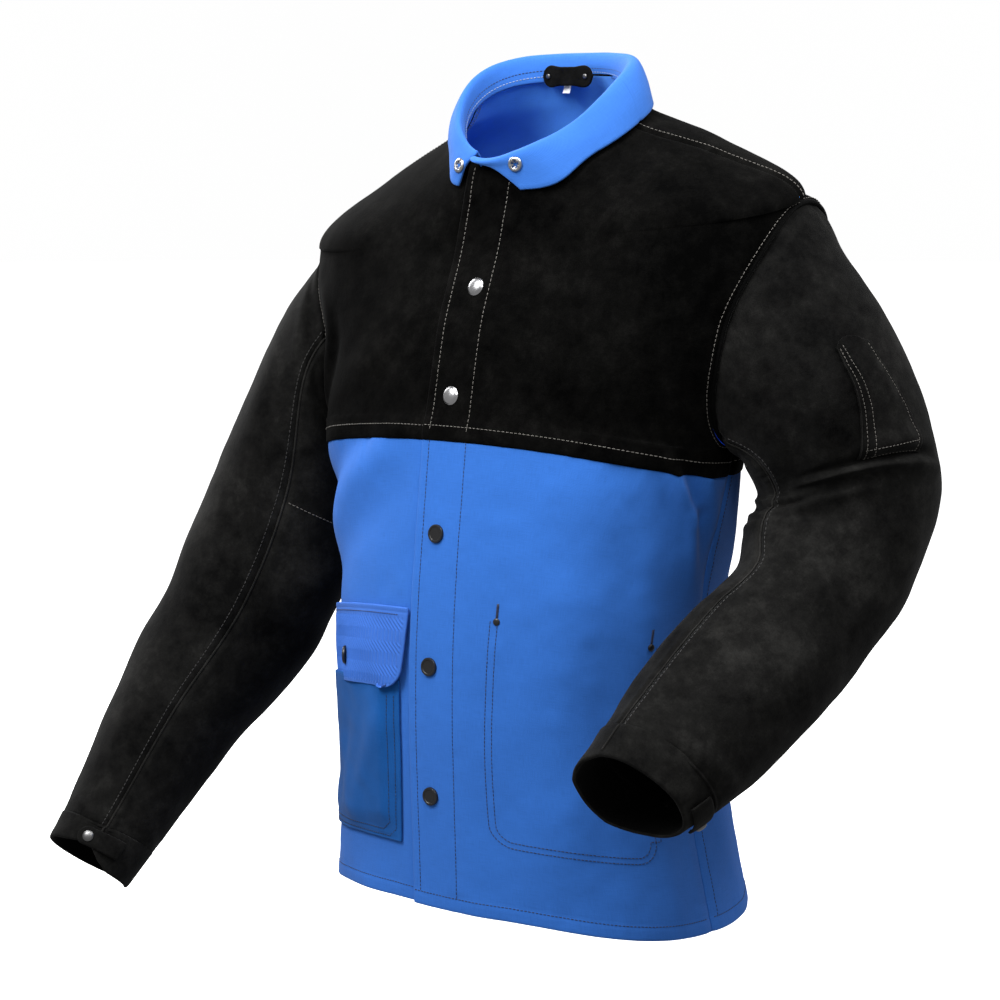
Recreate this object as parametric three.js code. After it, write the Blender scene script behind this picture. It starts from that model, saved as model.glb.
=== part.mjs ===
// Welding jacket on an invisible form, in millimetres.
// +Z is up, -Y is the front, +X is the wearer's left.
// The origin is the middle of the neck opening at the level of the back neck seam.
import * as THREE from 'three';

// ---------------------------------------------------------------- stations up the body
// A station of 0 is the hem and 1 is the neck seam.
const HEM = 0;
const WAIST = 0.22;
const RIBS = 0.38;
const YOKE_LINE = 0.54;
const UNDERARM = 0.56;
const CHEST = 0.69;
const SHOULDER_TIP = 0.82;
const SHOULDER_MID = 0.91;
const NECK_BASE = 0.955;
const NECK = 1;

// Horizontal sections of the body. Each is a rounded rectangle (superellipse), tilted and dipped so that
// hems and seams can rise at the front. sideShift moves the side seam towards the back.
const BODY_SECTIONS = [
  { at: HEM, level: -722, halfWidth: 184, halfDepth: 148, middleY: -5, squareness: 2.5, tilt: 0, dip: -15, sideShift: 0, sway: 0 },
  { at: WAIST, level: -580, halfWidth: 162, halfDepth: 143, middleY: -16, squareness: 2.5, tilt: -3, dip: -14, sideShift: 4, sway: 0 },
  { at: RIBS, level: -450, halfWidth: 176, halfDepth: 128, middleY: -26, squareness: 2.5, tilt: -5, dip: -22, sideShift: 10, sway: 0 },
  { at: YOKE_LINE, level: -327, halfWidth: 200, halfDepth: 115, middleY: -24, squareness: 2.4, tilt: -5, dip: -22, sideShift: 18, sway: 0 },
  { at: UNDERARM, level: -312, halfWidth: 202, halfDepth: 113, middleY: -23, squareness: 2.4, tilt: -3, dip: -20, sideShift: 20, sway: 0 },
  { at: CHEST, level: -218, halfWidth: 214, halfDepth: 106, middleY: -14, squareness: 2.4, tilt: 4, dip: -5, sideShift: 20, sway: 11 },
  { at: SHOULDER_TIP, level: -122, halfWidth: 247, halfDepth: 90, middleY: -2, squareness: 2.4, tilt: 18, dip: 0, sideShift: 16, sway: 7 },
  { at: SHOULDER_MID, level: -70, halfWidth: 168, halfDepth: 78, middleY: -6, squareness: 2.3, tilt: 30, dip: 10, sideShift: 4, sway: 5 },
  { at: NECK_BASE, level: -43, halfWidth: 93, halfDepth: 70, middleY: -11, squareness: 2.1, tilt: 36, dip: 14, sideShift: 0, sway: 6 },
  { at: NECK, level: -22, halfWidth: 74, halfDepth: 62, middleY: -14, squareness: 2.1, tilt: 38.5, dip: 16.5, sideShift: 0, sway: 6 },
];
const ARMHOLE_HALF_WIDTH = 66;
const LEFT_SHOULDER_LIFT = 0.06;
const RIGHT_SHOULDER_DROP = 0.11;
const HEM_LEAN = -0.045;

// ---------------------------------------------------------------- cloth and leather
const LEATHER = 3;
const COTTON = 2.4;
const SEAM = 0.002;
const RIDGE_SEAM = 0.009;
const SEAM_LEVEL = 0.0008;

// ---------------------------------------------------------------- front opening
// The left front laps over the right one. Widths run along X at each level.
const PLACKET_EDGE_X = -22;
const PLACKET_INNER_X = 25;
const LEFT_FRONT_START_X = 12;
const RIGHT_FRONT_END_X = 10.6;
const PLACKET_TOP = 0.94;
const PLACKET_LIFT = 3;
// The swinging part of the left front ends on this line, a share of the way from centre to side seam.
const SWING_LINE = [
  { at: HEM, share: 0.86 },
  { at: UNDERARM, share: 0.86 },
  { at: 0.62, share: 0.8 },
  { at: CHEST, share: 0.74 },
  { at: SHOULDER_TIP, share: 0.62 },
  { at: NECK, share: 0.5 },
];
const SWING_GAP = 0.012;

// ---------------------------------------------------------------- snaps
const SNAP_STATIONS = [0.748, 0.593, 0.427, 0.295, 0.152];
const LEATHER_SNAP_COUNT = 2;
const SNAP_RADIUS = 8;
const SNAP_HEIGHT = 3;
const STUD_RADIUS = 5.5;
const STUD_HEIGHT = 1.7;
const FASTENER_GAP = 0.6;
const ROUND_STEPS = 14;

// ---------------------------------------------------------------- pockets
const POCKET = { from: -0.1, to: -0.7, bottom: 0.078, top: 0.262 };
const FLAP = { from: -0.088, to: -0.71, bottom: 0.27, top: 0.345 };
const POCKET_LIFT = 1.4;
const FLAP_LIFT = 1.8;
const FLAP_SNAP = { share: -0.4, station: 0.295 };
const INSIDE_POCKET = { from: 0.16, to: 0.82, bottom: 0.1, top: 0.345 };
const POCKET_RIVETS = [0.18, 0.79];
const RIVET_RADIUS = 3;
const RIVET_HEIGHT = 1.5;

// ---------------------------------------------------------------- collar
const COLLAR_THICKNESS = 2.6;
const COLLAR_STAND_BACK = 13;
const COLLAR_STAND_FRONT = 3;
// The left leaf crosses the centre to the placket's edge, and the right one starts behind its tip.
const LEFT_LEAF = { start: -0.17, tipShare: 0.09, front: 0.932, side: 0.955 };
const RIGHT_LEAF = { start: 0.21, tipShare: 0.23, front: 0.94, side: 0.965 };
const COLLAR_CLEARANCE = 4.6;
const COLLAR_SPLIT = 0.5;
const COLLAR_RING_OUTER = 6.5;
const COLLAR_RING_INNER = 3.6;

// ---------------------------------------------------------------- hanger loop inside the back neck
const LOOP = { length: 55, endHeight: 17, waistHeight: 11, thickness: 2, x: -3, y: 32, z: -2, turn: -0.06 };
const LOOP_RIVET_SPACING = 42;
const SIZE_TAB = { width: 9, height: 11, thickness: 0.8, x: -9, y: 41, z: -12 };

// ---------------------------------------------------------------- sleeves
// Each section runs from its outer point to its inner point and is round in depth.
const RIGHT_SLEEVE = {
  side: -1,
  frontSeam: 90,
  backSeam: 270,
  tabEnd: 67,
  sections: [
    { outer: [-268, -25, -200], inner: [-216, -5, -330], depth: 74 },
    { outer: [-322, -71, -346], inner: [-214, 5, -408], depth: 70 },
    { outer: [-352, -106, -454], inner: [-240, -28, -518], depth: 66 },
    { outer: [-378, -158, -558], inner: [-286, -94, -610], depth: 59 },
    { outer: [-388, -207, -650], inner: [-316, -157, -690], depth: 50 },
    { outer: [-392, -231, -689], inner: [-328, -187, -725], depth: 46 },
  ],
};
const LEFT_SLEEVE = {
  side: 1,
  frontSeam: 150,
  backSeam: 300,
  tabEnd: -12,
  sections: [
    { outer: [300, 60, -192], inner: [216, -10, -328], depth: 76 },
    { outer: [331, 88, -285], inner: [224, 0, -350], depth: 72 },
    { outer: [342, 95, -349], inner: [224, -10, -364], depth: 68 },
    { outer: [338, 66, -413], inner: [224, -23, -384], depth: 65 },
    { outer: [319, 15, -482], inner: [231, -41, -406], depth: 62 },
    { outer: [309, -30, -518], inner: [219, -88, -440], depth: 60 },
    { outer: [294, -97, -565], inner: [208, -153, -489], depth: 57 },
    { outer: [280, -142, -589], inner: [204, -192, -521], depth: 52 },
    { outer: [270, -172, -603], inner: [202, -216, -543], depth: 46 },
  ],
};
const SLEEVE_START = 0.012;
const SLEEVE_STEPS = 12;
const CUFF_START = 0.9;
const CUFF_GAP = 0.003;
const SLEEVE_SEAM_GAP = 2.8;
const CUFF_THICKNESS = 4;
const CUFF_STEPS = 20;
const TAB = { reach: 52, low: 0.925, high: 0.985, lift: 2, thickness: 2.4 };
const TAB_SNAP_RADIUS = 6;
const PEN_POCKET = { from: 36, to: 78, low: 0.12, high: 0.29, lift: 1.4, thickness: 2.2 };

// ---------------------------------------------------------------- colours
const BLACK_LEATHER = 0x17171a;
const BLUE_COTTON = 0x2b66c8;
const DARK_METAL = 0x2c2c30;
const BRIGHT_METAL = 0xc9ccd2;
const WHITE_TAPE = 0xe9eaec;

const group = new THREE.Group();
group.name = 'welding_jacket';

// ---------------------------------------------------------------- helpers

// Reads a value along a list of stations with a smooth curve that never overshoots.
function along(rows, key, at) {
  const last = rows.length - 1;
  const slope = (i) => (rows[i + 1][key] - rows[i][key]) / (rows[i + 1].at - rows[i].at);
  const grade = (i) => {
    if (i === 0) {
      return slope(0);
    }
    if (i === last) {
      return slope(last - 1);
    }
    const before = slope(i - 1);
    const after = slope(i);
    if (before * after <= 0) {
      return 0;
    }
    const spanBefore = rows[i].at - rows[i - 1].at;
    const spanAfter = rows[i + 1].at - rows[i].at;
    const weightBefore = 2 * spanAfter + spanBefore;
    const weightAfter = spanAfter + 2 * spanBefore;
    return (weightBefore + weightAfter) / (weightBefore / before + weightAfter / after);
  };
  const x = THREE.MathUtils.clamp(at, rows[0].at, rows[last].at);
  let i = 0;
  while (i < last - 1 && x > rows[i + 1].at) {
    i += 1;
  }
  const span = rows[i + 1].at - rows[i].at;
  const t = (x - rows[i].at) / span;
  const rise = t * t * (3 - 2 * t);
  return (1 - rise) * rows[i][key] + rise * rows[i + 1][key]
    + t * (1 - t) * (1 - t) * span * grade(i) - t * t * (1 - t) * span * grade(i + 1);
}

function smooth(from, to, x) {
  return THREE.MathUtils.smoothstep(x, from, to);
}

// A point of the body's outer surface. share runs from -1 (right side) over 0 (centre line) to 1 (left side);
// half is -1 on the front and +1 on the back.
function bodyPoint(share, at, half) {
  const value = (key) => along(BODY_SECTIONS, key, at);
  const depth = value('halfDepth');
  const power = value('squareness');
  let opening = 0;
  if (at > UNDERARM && at < SHOULDER_TIP) {
    const c = 2 * (at - UNDERARM) / (SHOULDER_TIP - UNDERARM) - 1;
    opening = ARMHOLE_HALF_WIDTH * Math.sqrt(Math.max(0, 1 - c * c));
  }
  const edge = THREE.MathUtils.clamp((value('sideShift') + half * opening) / depth, -0.97, 0.97);
  const width = value('halfWidth') / Math.pow(1 - Math.pow(Math.abs(edge), power), 1 / power);
  const edgeAngle = Math.sign(edge) * Math.asin(Math.pow(Math.abs(edge), power / 2));
  const angle = half * Math.PI / 2 + (edgeAngle - half * Math.PI / 2) * Math.abs(share);
  const offside = Math.sign(share) * width * Math.pow(Math.abs(Math.cos(angle)), 2 / power);
  const lift = Math.sign(Math.sin(angle)) * Math.pow(Math.abs(Math.sin(angle)), 2 / power);
  const shoulder = share > 0
    ? LEFT_SHOULDER_LIFT * (1 - smooth(SHOULDER_TIP, NECK, at))
    : RIGHT_SHOULDER_DROP * (1 - smooth(SHOULDER_MID, NECK, at));
  const leanUp = shoulder * smooth(YOKE_LINE, SHOULDER_TIP, at);
  const leanDown = HEM_LEAN * (1 - smooth(HEM, YOKE_LINE, at));
  return new THREE.Vector3(
    offside + value('sway'),
    value('middleY') + depth * lift,
    value('level') + value('tilt') * lift - value('dip') * lift * lift + (leanUp + leanDown) * offside,
  );
}

// The share at which the front surface stands at a given X.
function shareAtX(x, at) {
  let low = -0.6;
  let high = 0.6;
  for (let i = 0; i < 30; i += 1) {
    const middle = (low + high) / 2;
    if (bodyPoint(middle, at, -1).x < x) {
      low = middle;
    } else {
      high = middle;
    }
  }
  return (low + high) / 2;
}

function spaced(from, to, steps) {
  return Array.from({ length: steps + 1 }, (_, i) => from + (to - from) * i / steps);
}

function addSolid(name, colour, positions, faces, roughness = 0.85, metalness = 0) {
  const corner = (i) => new THREE.Vector3().fromArray(positions, 3 * i);
  let volume = 0;
  for (let i = 0; i < faces.length; i += 3) {
    volume += corner(faces[i]).dot(corner(faces[i + 1]).cross(corner(faces[i + 2])));
  }
  const outward = volume > 0 ? faces : faces.slice().reverse();
  const geometry = new THREE.BufferGeometry();
  geometry.setAttribute('position', new THREE.Float32BufferAttribute(positions, 3));
  geometry.setIndex(outward);
  geometry.computeVertexNormals();
  const material = new THREE.MeshStandardMaterial({ color: colour, roughness, metalness });
  material.name = name;
  const mesh = new THREE.Mesh(geometry, material);
  mesh.name = name;
  group.add(mesh);
  return mesh;
}

// A skin of even thickness over a grid of surface points. rows[j][i] is a point, and the skin reaches from
// `low` to `high` along the outward normals. A round skin closes on itself along i.
function addSkin(name, colour, rows, low, high, round = false) {
  const across = rows[0].length;
  const down = rows.length;
  const next = (i) => (round ? (i + 1) % across : i + 1);
  const cells = round ? across : across - 1;
  const normals = rows.map((row) => row.map(() => new THREE.Vector3()));
  const spread = (a, b, c) => {
    const points = [a, b, c].map(([j, i]) => rows[j][i]);
    const face = points[1].clone().sub(points[0]).cross(points[2].clone().sub(points[0]));
    [a, b, c].forEach(([j, i]) => normals[j][i].add(face));
  };
  for (let j = 0; j < down - 1; j += 1) {
    for (let i = 0; i < cells; i += 1) {
      spread([j, i], [j, next(i)], [j + 1, next(i)]);
      spread([j, i], [j + 1, next(i)], [j + 1, i]);
    }
  }
  const positions = [];
  [high, low].forEach((offset) => {
    rows.forEach((row, j) => row.forEach((point, i) => {
      positions.push(...point.clone().addScaledVector(normals[j][i].clone().normalize(), offset).toArray());
    }));
  });
  const layer = across * down;
  const outer = (j, i) => j * across + i;
  const inner = (j, i) => layer + j * across + i;
  const faces = [];
  const quad = (a, b, c, d) => faces.push(a, b, c, a, c, d);
  for (let j = 0; j < down - 1; j += 1) {
    for (let i = 0; i < cells; i += 1) {
      quad(outer(j, i), outer(j, next(i)), outer(j + 1, next(i)), outer(j + 1, i));
      quad(inner(j, i), inner(j + 1, i), inner(j + 1, next(i)), inner(j, next(i)));
    }
  }
  for (let i = 0; i < cells; i += 1) {
    quad(outer(0, next(i)), outer(0, i), inner(0, i), inner(0, next(i)));
    quad(outer(down - 1, i), outer(down - 1, next(i)), inner(down - 1, next(i)), inner(down - 1, i));
  }
  if (!round) {
    for (let j = 0; j < down - 1; j += 1) {
      quad(outer(j, 0), outer(j + 1, 0), inner(j + 1, 0), inner(j, 0));
      quad(outer(j + 1, across - 1), outer(j, across - 1), inner(j, across - 1), inner(j + 1, across - 1));
    }
  }
  return addSolid(name, colour, positions, faces);
}

// A turned solid on the line from `foot` along `axis`. profile lists [radius, height]; it either starts and
// ends on the axis or is a closed ring around it.
function addTurned(name, colour, foot, axis, profile, roughness = 0.35, metalness = 0.9) {
  const turn = new THREE.Quaternion().setFromUnitVectors(new THREE.Vector3(0, 0, 1), axis.clone().normalize());
  const positions = [];
  const rings = profile.map(([radius, height]) => {
    const first = positions.length / 3;
    const steps = radius === 0 ? 1 : ROUND_STEPS;
    for (let k = 0; k < steps; k += 1) {
      const angle = 2 * Math.PI * k / ROUND_STEPS;
      const point = new THREE.Vector3(radius * Math.cos(angle), radius * Math.sin(angle), height);
      positions.push(...point.applyQuaternion(turn).add(foot).toArray());
    }
    return { first, steps };
  });
  const closed = profile[0][0] !== 0;
  const faces = [];
  const bands = closed ? rings.length : rings.length - 1;
  for (let j = 0; j < bands; j += 1) {
    const a = rings[j];
    const b = rings[(j + 1) % rings.length];
    for (let k = 0; k < ROUND_STEPS; k += 1) {
      const n = (k + 1) % ROUND_STEPS;
      if (a.steps === 1) {
        faces.push(a.first, b.first + k, b.first + n);
      } else if (b.steps === 1) {
        faces.push(a.first + k, b.first, a.first + n);
      } else {
        faces.push(a.first + k, b.first + k, b.first + n, a.first + k, b.first + n, a.first + n);
      }
    }
  }
  return addSolid(name, colour, positions, faces, roughness, metalness);
}

// A flat plate cut to a shape, standing in a plane through `place` and turned about Z.
function addPlate(name, colour, shape, thickness, place, turn) {
  const outline = shape.extractPoints(8).shape;
  const triangles = THREE.ShapeUtils.triangulateShape(outline, []);
  const matrix = new THREE.Matrix4().makeRotationZ(turn).setPosition(place);
  const positions = [];
  [0, thickness].forEach((depth) => outline.forEach((p) => {
    positions.push(...new THREE.Vector3(p.x, depth, p.y).applyMatrix4(matrix).toArray());
  }));
  const count = outline.length;
  const faces = [];
  triangles.forEach(([a, b, c]) => faces.push(a, b, c, count + a, count + c, count + b));
  outline.forEach((_, i) => {
    const n = (i + 1) % count;
    faces.push(n, i, count + i, n, count + i, count + n);
  });
  return addSolid(name, colour, positions, faces);
}

// ---------------------------------------------------------------- body panels

const ARMHOLE_STEPS = 8;
const yokeStations = [
  YOKE_LINE + SEAM_LEVEL,
  ...Array.from({ length: ARMHOLE_STEPS + 1 }, (_, j) => (
    UNDERARM + (SHOULDER_TIP - UNDERARM) * (1 - Math.cos(Math.PI * j / ARMHOLE_STEPS)) / 2
  )),
  0.865,
  SHOULDER_MID,
  0.955,
  NECK - SEAM_LEVEL,
];
const panelStations = spaced(HEM, YOKE_LINE - SEAM_LEVEL, 7);

// Rows of body points. The limits are shares or functions that give the share at a station.
function bodyRows(stations, from, to, steps, half) {
  const read = (limit, at) => (typeof limit === 'function' ? limit(at) : limit);
  return stations.map((at) => spaced(read(from, at), read(to, at), steps).map((share) => bodyPoint(share, at, half)));
}
const swingShare = (at) => along(SWING_LINE, 'share', at);
const sideEdge = 1 - SEAM;
const yokeEdge = 1 - RIDGE_SEAM;

addSkin('back_yoke', BLACK_LEATHER, bodyRows(yokeStations, yokeEdge, -yokeEdge, 14, 1), -LEATHER, 0);
addSkin('back_panel', BLUE_COTTON, bodyRows(panelStations, sideEdge, -sideEdge, 14, 1), -COTTON, 0);
const rightEdge = (at) => shareAtX(RIGHT_FRONT_END_X, at);
addSkin('right_front_yoke', BLACK_LEATHER, bodyRows(yokeStations, -yokeEdge, rightEdge, 9, -1), -LEATHER, 0);
addSkin('right_front_panel', BLUE_COTTON, bodyRows(panelStations, -sideEdge, rightEdge, 9, -1), -COTTON, 0);

const leftStart = (at) => shareAtX(LEFT_FRONT_START_X, at);
const swingEdge = (at) => swingShare(at) - SWING_GAP;
addSkin('left_front_yoke', BLACK_LEATHER, bodyRows(yokeStations, leftStart, swingEdge, 7, -1), -LEATHER, 0);
addSkin('left_front_panel', BLUE_COTTON, bodyRows(panelStations, leftStart, swingEdge, 7, -1), -COTTON, 0);
addSkin('left_side_yoke', BLACK_LEATHER, bodyRows(yokeStations, swingShare, yokeEdge, 3, -1), -LEATHER, 0);
addSkin('left_side_panel', BLUE_COTTON, bodyRows(panelStations, swingShare, sideEdge, 2, -1), -COTTON, 0);

const placketEdge = (at) => shareAtX(PLACKET_EDGE_X, at);
const placketInner = (at) => shareAtX(PLACKET_INNER_X, at);
const throatStations = [...yokeStations.filter((at) => at < PLACKET_TOP), PLACKET_TOP];
addSkin('yoke_placket', BLACK_LEATHER, bodyRows(throatStations, placketEdge, placketInner, 2, -1),
  PLACKET_LIFT, PLACKET_LIFT + LEATHER);
addSkin('panel_placket', BLUE_COTTON, bodyRows(panelStations, placketEdge, placketInner, 2, -1),
  PLACKET_LIFT, PLACKET_LIFT + COTTON);

// ---------------------------------------------------------------- snaps down the front

function surfaceFrame(share, at, half) {
  const step = 0.01;
  const point = bodyPoint(share, at, half);
  const across = bodyPoint(share + step, at, half).sub(bodyPoint(share - step, at, half));
  const up = bodyPoint(share, at + step, half).sub(bodyPoint(share, at - step, half));
  const normal = across.cross(up).normalize();
  return { point, normal: half < 0 ? normal : normal.negate() };
}

function domed(radius, height) {
  return [[0, 0], [radius * 0.94, 0], [radius, height * 0.3], [radius * 0.72, height * 0.8], [0, height]];
}

function flatTopped(radius, height) {
  return [[0, 0], [radius, 0], [radius, height * 0.7], [radius * 0.86, height], [0, height]];
}

SNAP_STATIONS.forEach((at, index) => {
  const { point, normal } = surfaceFrame(0, at, -1);
  const onLeather = index < LEATHER_SNAP_COUNT;
  const strip = PLACKET_LIFT + (onLeather ? LEATHER : COTTON);
  const capFoot = point.clone().addScaledVector(normal, strip + FASTENER_GAP);
  const studFoot = point.clone().addScaledVector(normal, FASTENER_GAP);
  const profile = onLeather ? domed(SNAP_RADIUS, SNAP_HEIGHT) : flatTopped(SNAP_RADIUS, SNAP_HEIGHT * 0.6);
  addTurned(`snap_cap_${index + 1}`, onLeather ? BRIGHT_METAL : DARK_METAL, capFoot, normal, profile);
  addTurned(`snap_stud_${index + 1}`, BRIGHT_METAL, studFoot, normal, flatTopped(STUD_RADIUS, STUD_HEIGHT));
});

// ---------------------------------------------------------------- pockets

addSkin('right_pocket', BLUE_COTTON, bodyRows(spaced(POCKET.bottom, POCKET.top, 3), POCKET.to, POCKET.from, 10, -1),
  POCKET_LIFT, POCKET_LIFT + COTTON);
addSkin('pocket_flap', BLUE_COTTON, bodyRows(spaced(FLAP.bottom, FLAP.top, 2), FLAP.to, FLAP.from, 10, -1),
  FLAP_LIFT + COTTON, FLAP_LIFT + 2 * COTTON);
{
  const { point, normal } = surfaceFrame(FLAP_SNAP.share, FLAP_SNAP.station, -1);
  const capFoot = point.clone().addScaledVector(normal, FLAP_LIFT + 2 * COTTON + FASTENER_GAP);
  addTurned('flap_snap_cap', DARK_METAL, capFoot, normal, flatTopped(SNAP_RADIUS, SNAP_HEIGHT * 0.6));
  const studFoot = point.clone().addScaledVector(normal, FASTENER_GAP);
  addTurned('flap_snap_stud', BRIGHT_METAL, studFoot, normal, flatTopped(STUD_RADIUS, STUD_HEIGHT));
}
addSkin('inside_pocket', BLUE_COTTON,
  bodyRows(spaced(INSIDE_POCKET.bottom, INSIDE_POCKET.top, 4), INSIDE_POCKET.from, INSIDE_POCKET.to, 6, -1),
  -2 * COTTON - POCKET_LIFT, -COTTON - POCKET_LIFT);
POCKET_RIVETS.forEach((share, index) => {
  const { point, normal } = surfaceFrame(share, INSIDE_POCKET.top, -1);
  addTurned(`pocket_rivet_${index + 1}`, DARK_METAL, point.addScaledVector(normal, FASTENER_GAP), normal,
    domed(RIVET_RADIUS, RIVET_HEIGHT));
});

// ---------------------------------------------------------------- collar

// A point of the collar. turn runs from 0 at the left front over 1 at the back to 2 at the right front,
// and run goes from the neck seam over the fold to the outer edge of the leaf.
function collarProfile(turn) {
  const side = turn <= 1 ? 1 : -1;
  const away = turn <= 1 ? turn : 2 - turn;
  const onFront = away < 0.5;
  const leaf = side > 0 ? LEFT_LEAF : RIGHT_LEAF;
  const half = onFront ? -1 : 1;
  const seamShare = onFront ? leaf.start + (1 - leaf.start) * 2 * away : 2 - 2 * away;
  const leafShare = onFront ? leaf.tipShare + (1 - leaf.tipShare) * 2 * away : 2 - 2 * away;
  const sideStation = THREE.MathUtils.lerp(leaf.front, leaf.side, smooth(0, 0.3, away));
  const leafStation = THREE.MathUtils.lerp(sideStation, LEFT_LEAF.side, smooth(0.5, 1, away));
  const seam = bodyPoint(side * seamShare, NECK, half);
  const below = bodyPoint(side * seamShare, NECK - 0.02, half);
  const rise = seam.clone().sub(below).normalize();
  const edge = bodyPoint(side * leafShare, leafStation, half);
  const middle = bodyPoint(side * (seamShare + leafShare) / 2, (NECK + leafStation) / 2, half);
  const sideways = edge.clone().sub(seam).setZ(0).normalize();
  const outward = new THREE.Vector3(0, -1, 0).lerp(sideways, smooth(0.04, 0.4, away)).normalize();
  const stand = THREE.MathUtils.lerp(COLLAR_STAND_FRONT, COLLAR_STAND_BACK, smooth(0, 0.55, away));
  const foot = seam.clone().addScaledVector(rise, 2.2);
  const halfway = foot.clone().add(new THREE.Vector3(0, 0, stand * 0.6));
  const foldIn = foot.clone().add(new THREE.Vector3(0, 0, stand)).addScaledVector(outward, 3.5);
  const fold = foldIn.clone().addScaledVector(outward, 3.5).add(new THREE.Vector3(0, 0, 2));
  const foldOut = foldIn.clone().addScaledVector(outward, 7.5);
  const clear = new THREE.Vector3(0, 0, COLLAR_CLEARANCE);
  const leafEdge = edge.clone().add(clear).addScaledVector(outward, COLLAR_CLEARANCE * 0.5);
  const leafMiddle = foldOut.clone().lerp(leafEdge, 0.5).addScaledVector(outward, 1.5);
  leafMiddle.z = Math.max(leafMiddle.z, middle.z + COLLAR_CLEARANCE + 1.5) + 1.5;
  return new THREE.CatmullRomCurve3([foot, halfway, foldIn, fold, foldOut, leafMiddle, leafEdge]);
}
const COLLAR_RUNS = [0, 0.17, 0.3, 0.42, 0.5, 0.58, 0.72, 0.86, 1];
function collarRows(from, to, steps) {
  return spaced(from, to, steps).map((turn) => {
    const profile = collarProfile(turn);
    return COLLAR_RUNS.map((run) => profile.getPoint(run));
  });
}
const halfCollar = COLLAR_THICKNESS / 2;
const collarSplit = COLLAR_SPLIT / 2;
addSkin('collar', BLUE_COTTON, collarRows(collarSplit + 0.006, 2, 24), -halfCollar, halfCollar);
addSkin('collar_left', BLUE_COTTON, collarRows(0, collarSplit - 0.006, 6), -halfCollar, halfCollar);
[
  { name: 'collar_ring_left', turn: 0.07, run: 0.74 },
  { name: 'collar_ring_right', turn: 1.97, run: 0.7 },
].forEach(({ name, turn, run }) => {
  const profile = collarProfile(turn);
  const beside = collarProfile(turn < 1 ? turn + 0.03 : turn - 0.03);
  const point = profile.getPoint(run);
  const down = profile.getPoint(run + 0.04).sub(profile.getPoint(run - 0.04));
  const normal = down.cross(beside.getPoint(run).sub(point)).normalize();
  if (normal.z < 0) {
    normal.negate();
  }
  const foot = point.addScaledVector(normal, halfCollar + FASTENER_GAP);
  const ring = [[COLLAR_RING_INNER, 0], [COLLAR_RING_OUTER, 0], [COLLAR_RING_OUTER, 1], [COLLAR_RING_INNER, 1.6]];
  addTurned(name, BRIGHT_METAL, foot, normal, ring);
});

// ---------------------------------------------------------------- hanger loop and size tab

function dogBone({ length, endHeight, waistHeight }) {
  const end = length / 2;
  const tall = endHeight / 2;
  const waist = waistHeight / 2;
  const shape = new THREE.Shape();
  shape.moveTo(-end + 5, -tall);
  shape.quadraticCurveTo(-end / 2, -tall, -end / 3, -waist);
  shape.lineTo(end / 3, -waist);
  shape.quadraticCurveTo(end / 2, -tall, end - 5, -tall);
  shape.quadraticCurveTo(end, -tall, end, 0);
  shape.quadraticCurveTo(end, tall, end - 5, tall);
  shape.quadraticCurveTo(end / 2, tall, end / 3, waist);
  shape.lineTo(-end / 3, waist);
  shape.quadraticCurveTo(-end / 2, tall, -end + 5, tall);
  shape.quadraticCurveTo(-end, tall, -end, 0);
  shape.quadraticCurveTo(-end, -tall, -end + 5, -tall);
  return shape;
}
const loopPlace = new THREE.Vector3(LOOP.x, LOOP.y, LOOP.z);
addPlate('hanger_loop', BLACK_LEATHER, dogBone(LOOP), LOOP.thickness, loopPlace, LOOP.turn);
const loopFront = new THREE.Vector3(0, -1, 0).applyAxisAngle(new THREE.Vector3(0, 0, 1), LOOP.turn);
const loopAlong = new THREE.Vector3(1, 0, 0).applyAxisAngle(new THREE.Vector3(0, 0, 1), LOOP.turn);
[-1, 1].forEach((side, index) => {
  const foot = loopPlace.clone().addScaledVector(loopAlong, side * LOOP_RIVET_SPACING / 2)
    .addScaledVector(loopFront, 0.3);
  addTurned(`loop_rivet_${index + 1}`, DARK_METAL, foot, loopFront, domed(RIVET_RADIUS, RIVET_HEIGHT));
});
const tabShape = new THREE.Shape();
tabShape.moveTo(-SIZE_TAB.width / 2, -SIZE_TAB.height / 2);
tabShape.lineTo(SIZE_TAB.width / 2, -SIZE_TAB.height / 2);
tabShape.lineTo(SIZE_TAB.width / 2, SIZE_TAB.height / 2);
tabShape.lineTo(-SIZE_TAB.width / 2, SIZE_TAB.height / 2);
addPlate('size_tab', WHITE_TAPE, tabShape, SIZE_TAB.thickness,
  new THREE.Vector3(SIZE_TAB.x, SIZE_TAB.y, SIZE_TAB.z), LOOP.turn);

// ---------------------------------------------------------------- sleeves

// A point of the armhole edge. 0 degrees is the shoulder tip, 90 the front, 180 the underarm.
function armholePoint(degrees, side) {
  const angle = THREE.MathUtils.degToRad(degrees);
  const at = (UNDERARM + SHOULDER_TIP) / 2 + Math.cos(angle) * (SHOULDER_TIP - UNDERARM) / 2;
  const half = Math.sin(angle) >= 0 ? -1 : 1;
  const point = bodyPoint(side, THREE.MathUtils.clamp(at, UNDERARM + 1e-6, SHOULDER_TIP - 1e-6), half);
  return point.add(new THREE.Vector3(side * 1.5, 0, 0));
}

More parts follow.
